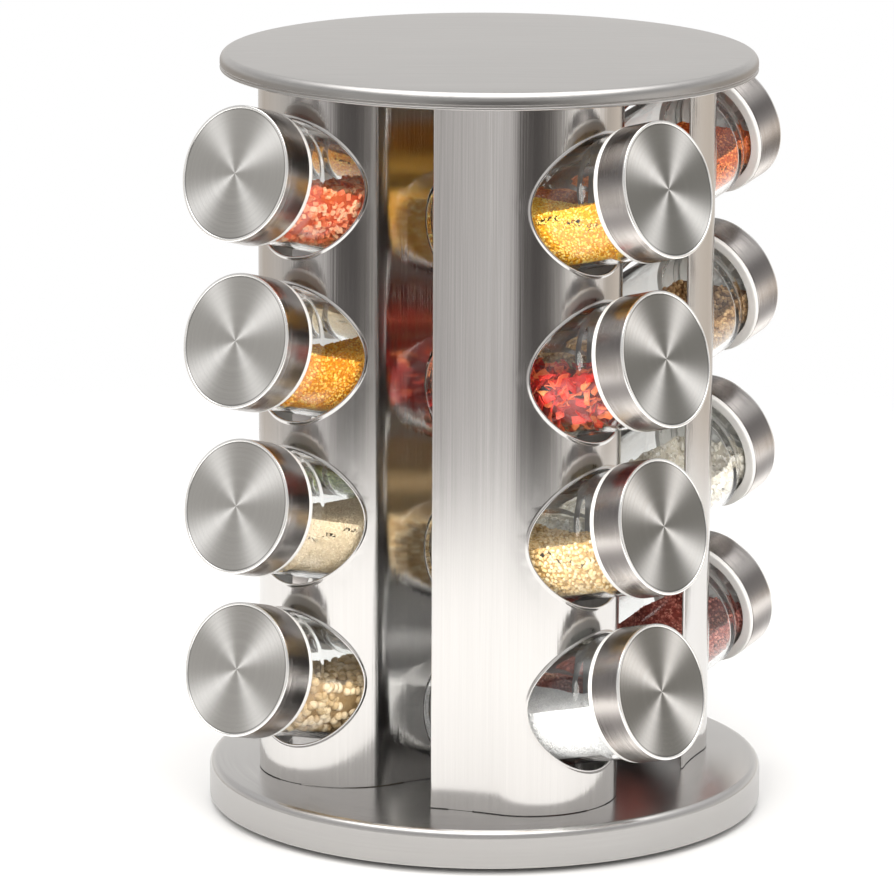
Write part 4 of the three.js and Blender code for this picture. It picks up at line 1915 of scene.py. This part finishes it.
@dataclass
class Studio:
    """Floor, soft surroundings, two soft lamps and the camera."""

    floor_radius: float = 0.78
    floor_solid: float = 0.4  # where the floor starts to fade out
    floor_gone: float = 0.741  # where it has faded out
    camera_distance: float = 1.983
    camera_height: float = 0.578
    pitch: float = 0.2221
    yaw: float = -0.0072
    roll: float = 0.0051
    focal_length: float = 227.5
    ceiling_light: float = 2.0
    lamp_size: float = 1.4
    lamp_target: float = 0.12  # height that both lamps are aimed at

    # Each lamp's place and its power in watts.
    LAMPS = {"lamp_left": ((-0.9, -1.9, 1.2), 40.0), "lamp_right": ((0.9, -1.9, 1.2), 34.0)}

    def build(self) -> None:
        """Builds the studio."""
        self._floor()
        self._surroundings()
        for name, (place, watts) in self.LAMPS.items():
            self._lamp(name, Vector(place), watts)
        self._camera()
        bpy.context.scene.view_settings.view_transform = "Standard"

    def _floor(self) -> None:
        """A pale round floor, a hair below the foot, that fades out at its edge."""
        shape = bmesh.new()
        bmesh.ops.create_circle(shape, cap_ends=True, radius=self.floor_radius, segments=128)
        mesh = bpy.data.meshes.new("floor")
        shape.to_mesh(mesh)
        shape.free()
        graph = new_material("floor_paint")
        place = graph.object_place()
        tone = (graph.noise(place, 6.0) - 0.5) * 0.01 + 0.8
        colour = graph.node("ShaderNodeCombineColor", {0: tone, 1: tone, 2: tone})
        reach = graph.vector("LENGTH", place, output="Value")
        solid = 1.0 - graph.smooth(reach, self.floor_solid, self.floor_gone)
        graph.close(graph.surface(Base_Color=colour, Roughness=0.6, Alpha=solid))
        mesh.materials.append(material_of(graph))
        floor = bpy.data.objects.new("floor", mesh)
        bpy.context.scene.collection.objects.link(floor)

    def _surroundings(self) -> None:
        """Pale walls with a dark opening behind the camera and a soft light overhead."""
        world = bpy.data.worlds.new("studio")
        bpy.context.scene.world = world
        world.use_nodes = True
        graph = ShaderGraph(world.node_tree)
        way = graph.node("ShaderNodeTexCoord", output="Generated")
        parts = {axis: graph.node("ShaderNodeSeparateXYZ", {"Vector": way}, axis) for axis in "XYZ"}
        turn = graph.math("ARCTAN2", parts["X"], parts["Y"] * -1.0) / math.tau + 0.5
        stops = [(degrees / 360 + 0.5, colour) for degrees, colour in WALL_TONES]
        walls = graph.node("ShaderNodeValToRGB", {"Fac": turn}, stops=stops)
        height = graph.smooth(parts["Z"], -0.02, 0.12)
        sky = graph.node("ShaderNodeValToRGB", {"Fac": parts["Z"]}, stops=SKY_TONES)
        upper = graph.mix(height, walls, sky)
        lamp = graph.smooth(parts["Z"], 0.75, 0.88) * self.ceiling_light
        lit = graph.node(
            "ShaderNodeMix",
            {"Factor": lamp, "A": upper, "B": rgba((1.0, 0.99, 0.97))},
            data_type="RGBA",
            blend_type="ADD",
            clamp_factor=False,
        )
        seen = graph.node("ShaderNodeLightPath", output="Is Camera Ray")
        shown = graph.mix(seen, lit, rgba(grey(1.0)))
        graph.close(graph.node("ShaderNodeBackground", {"Color": shown}), "ShaderNodeOutputWorld")

    def _lamp(self, name: str, place: Vector, watts: float) -> None:
        """A broad soft lamp in front that lights the spices but isn't mirrored in the steel."""
        data = bpy.data.lights.new(name, "AREA")
        data.shape = "DISK"
        data.size = self.lamp_size
        data.energy = watts
        data.color = (1.0, 0.97, 0.93)
        lamp = bpy.data.objects.new(name, data)
        lamp.location = place
        way = Vector((0, 0, self.lamp_target)) - place
        lamp.rotation_euler = way.to_track_quat("-Z", "Y").to_euler()
        lamp.visible_glossy = False
        lamp.visible_camera = False
        bpy.context.scene.collection.objects.link(lamp)

    def _camera(self) -> None:
        """The camera, a little above the lid and looking down."""
        data = bpy.data.cameras.new("camera")
        data.lens = self.focal_length
        data.clip_end = 50
        camera = bpy.data.objects.new("camera", data)
        bpy.context.scene.collection.objects.link(camera)
        forward = Vector(
            (
                math.sin(self.yaw) * math.cos(self.pitch),
                math.cos(self.yaw) * math.cos(self.pitch),
                -math.sin(self.pitch),
            )
        )
        right = Vector((math.cos(self.yaw), -math.sin(self.yaw), 0))
        up = right.cross(forward)
        turned_right = right * math.cos(self.roll) + up * math.sin(self.roll)
        turned_up = up * math.cos(self.roll) - right * math.sin(self.roll)
        matrix = Matrix((turned_right, turned_up, -forward)).transposed().to_4x4()
        matrix.translation = (0, -self.camera_distance, self.camera_height)
        camera.matrix_world = matrix
        bpy.context.scene.camera = camera


# How bright the walls are near the floor's height, by the turn in degrees from straight behind the
# camera, positive towards the camera's right.
WALL_TONES = (
    (-180, (0.78, 0.76, 0.74)),
    (-135, (0.62, 0.56, 0.5)),
    (-104, (0.66, 0.62, 0.58)),
    (-77, (0.52, 0.5, 0.48)),
    (-56, (0.86, 0.84, 0.82)),
    (-47, (0.66, 0.64, 0.63)),
    (-33, (0.6, 0.58, 0.57)),
    (-24, (0.48, 0.46, 0.45)),
    (-12, (0.13, 0.12, 0.115)),
    (8, (0.09, 0.083, 0.08)),
    (23, (0.16, 0.148, 0.14)),
    (38, (0.44, 0.42, 0.4)),
    (53, (0.95, 0.92, 0.88)),
    (67, (1.2, 1.17, 1.14)),
    (86, (1.1, 1.05, 1.0)),
    (108, (0.6, 0.54, 0.48)),
    (138, (0.72, 0.64, 0.56)),
    (180, (0.78, 0.76, 0.74)),
)

# How bright the room is above that, by the sine of the height.
SKY_TONES = (
    (0.0, (0.78, 0.76, 0.75)),
    (0.2, (0.84, 0.83, 0.81)),
    (0.4, (0.5, 0.49, 0.49)),
    (0.7, (0.6, 0.6, 0.6)),
)


# ---- the whole carousel -------------------------------------------------------------------------


def main() -> None:
    """Builds and dresses the carousel, piece by piece."""
    logging.basicConfig(level=logging.INFO, format="%(message)s")
    Studio().build()
    places = read_jar_places()
    column_steel = BrushedSteel("column_steel", Lines.UPRIGHT).material()
    # The pan's and lid's steels paint shade on their upright faces.
    pan_steel = BrushedSteel(
        "pan_steel", Lines.ROUND, (0.7, 0.685, 0.67), 0.24, line_tilt=0.1, wall_painted_shade=0.36
    ).material()
    lid_steel = BrushedSteel(
        "lid_steel", Lines.ACROSS, (0.62, 0.605, 0.59), 0.34, line_tilt=0.12, wall_painted_shade=0.4
    ).material()
    columns = []
    for number in sorted({place.column for place in places}):
        low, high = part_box(f"column_{number}")
        own = [place for place in places if place.column == number]
        tab = Column.tab_reach
        column = Column(number, own, low.z + tab, high.z - tab)
        column.build(column_steel)
        columns.append(column)
    Pan(columns).build(pan_steel)
    Lid(columns).build(lid_steel)
    black = Moulded("black_plastic", (0.02, 0.02, 0.022), 0.5).material()
    rubber = Moulded("foot_rubber", (0.03, 0.03, 0.03), 0.85).material()
    Swivel().build(black, rubber, pan_steel)
    JarSet(places, spice_rack()).build()


if __name__ == "__main__":
    main()
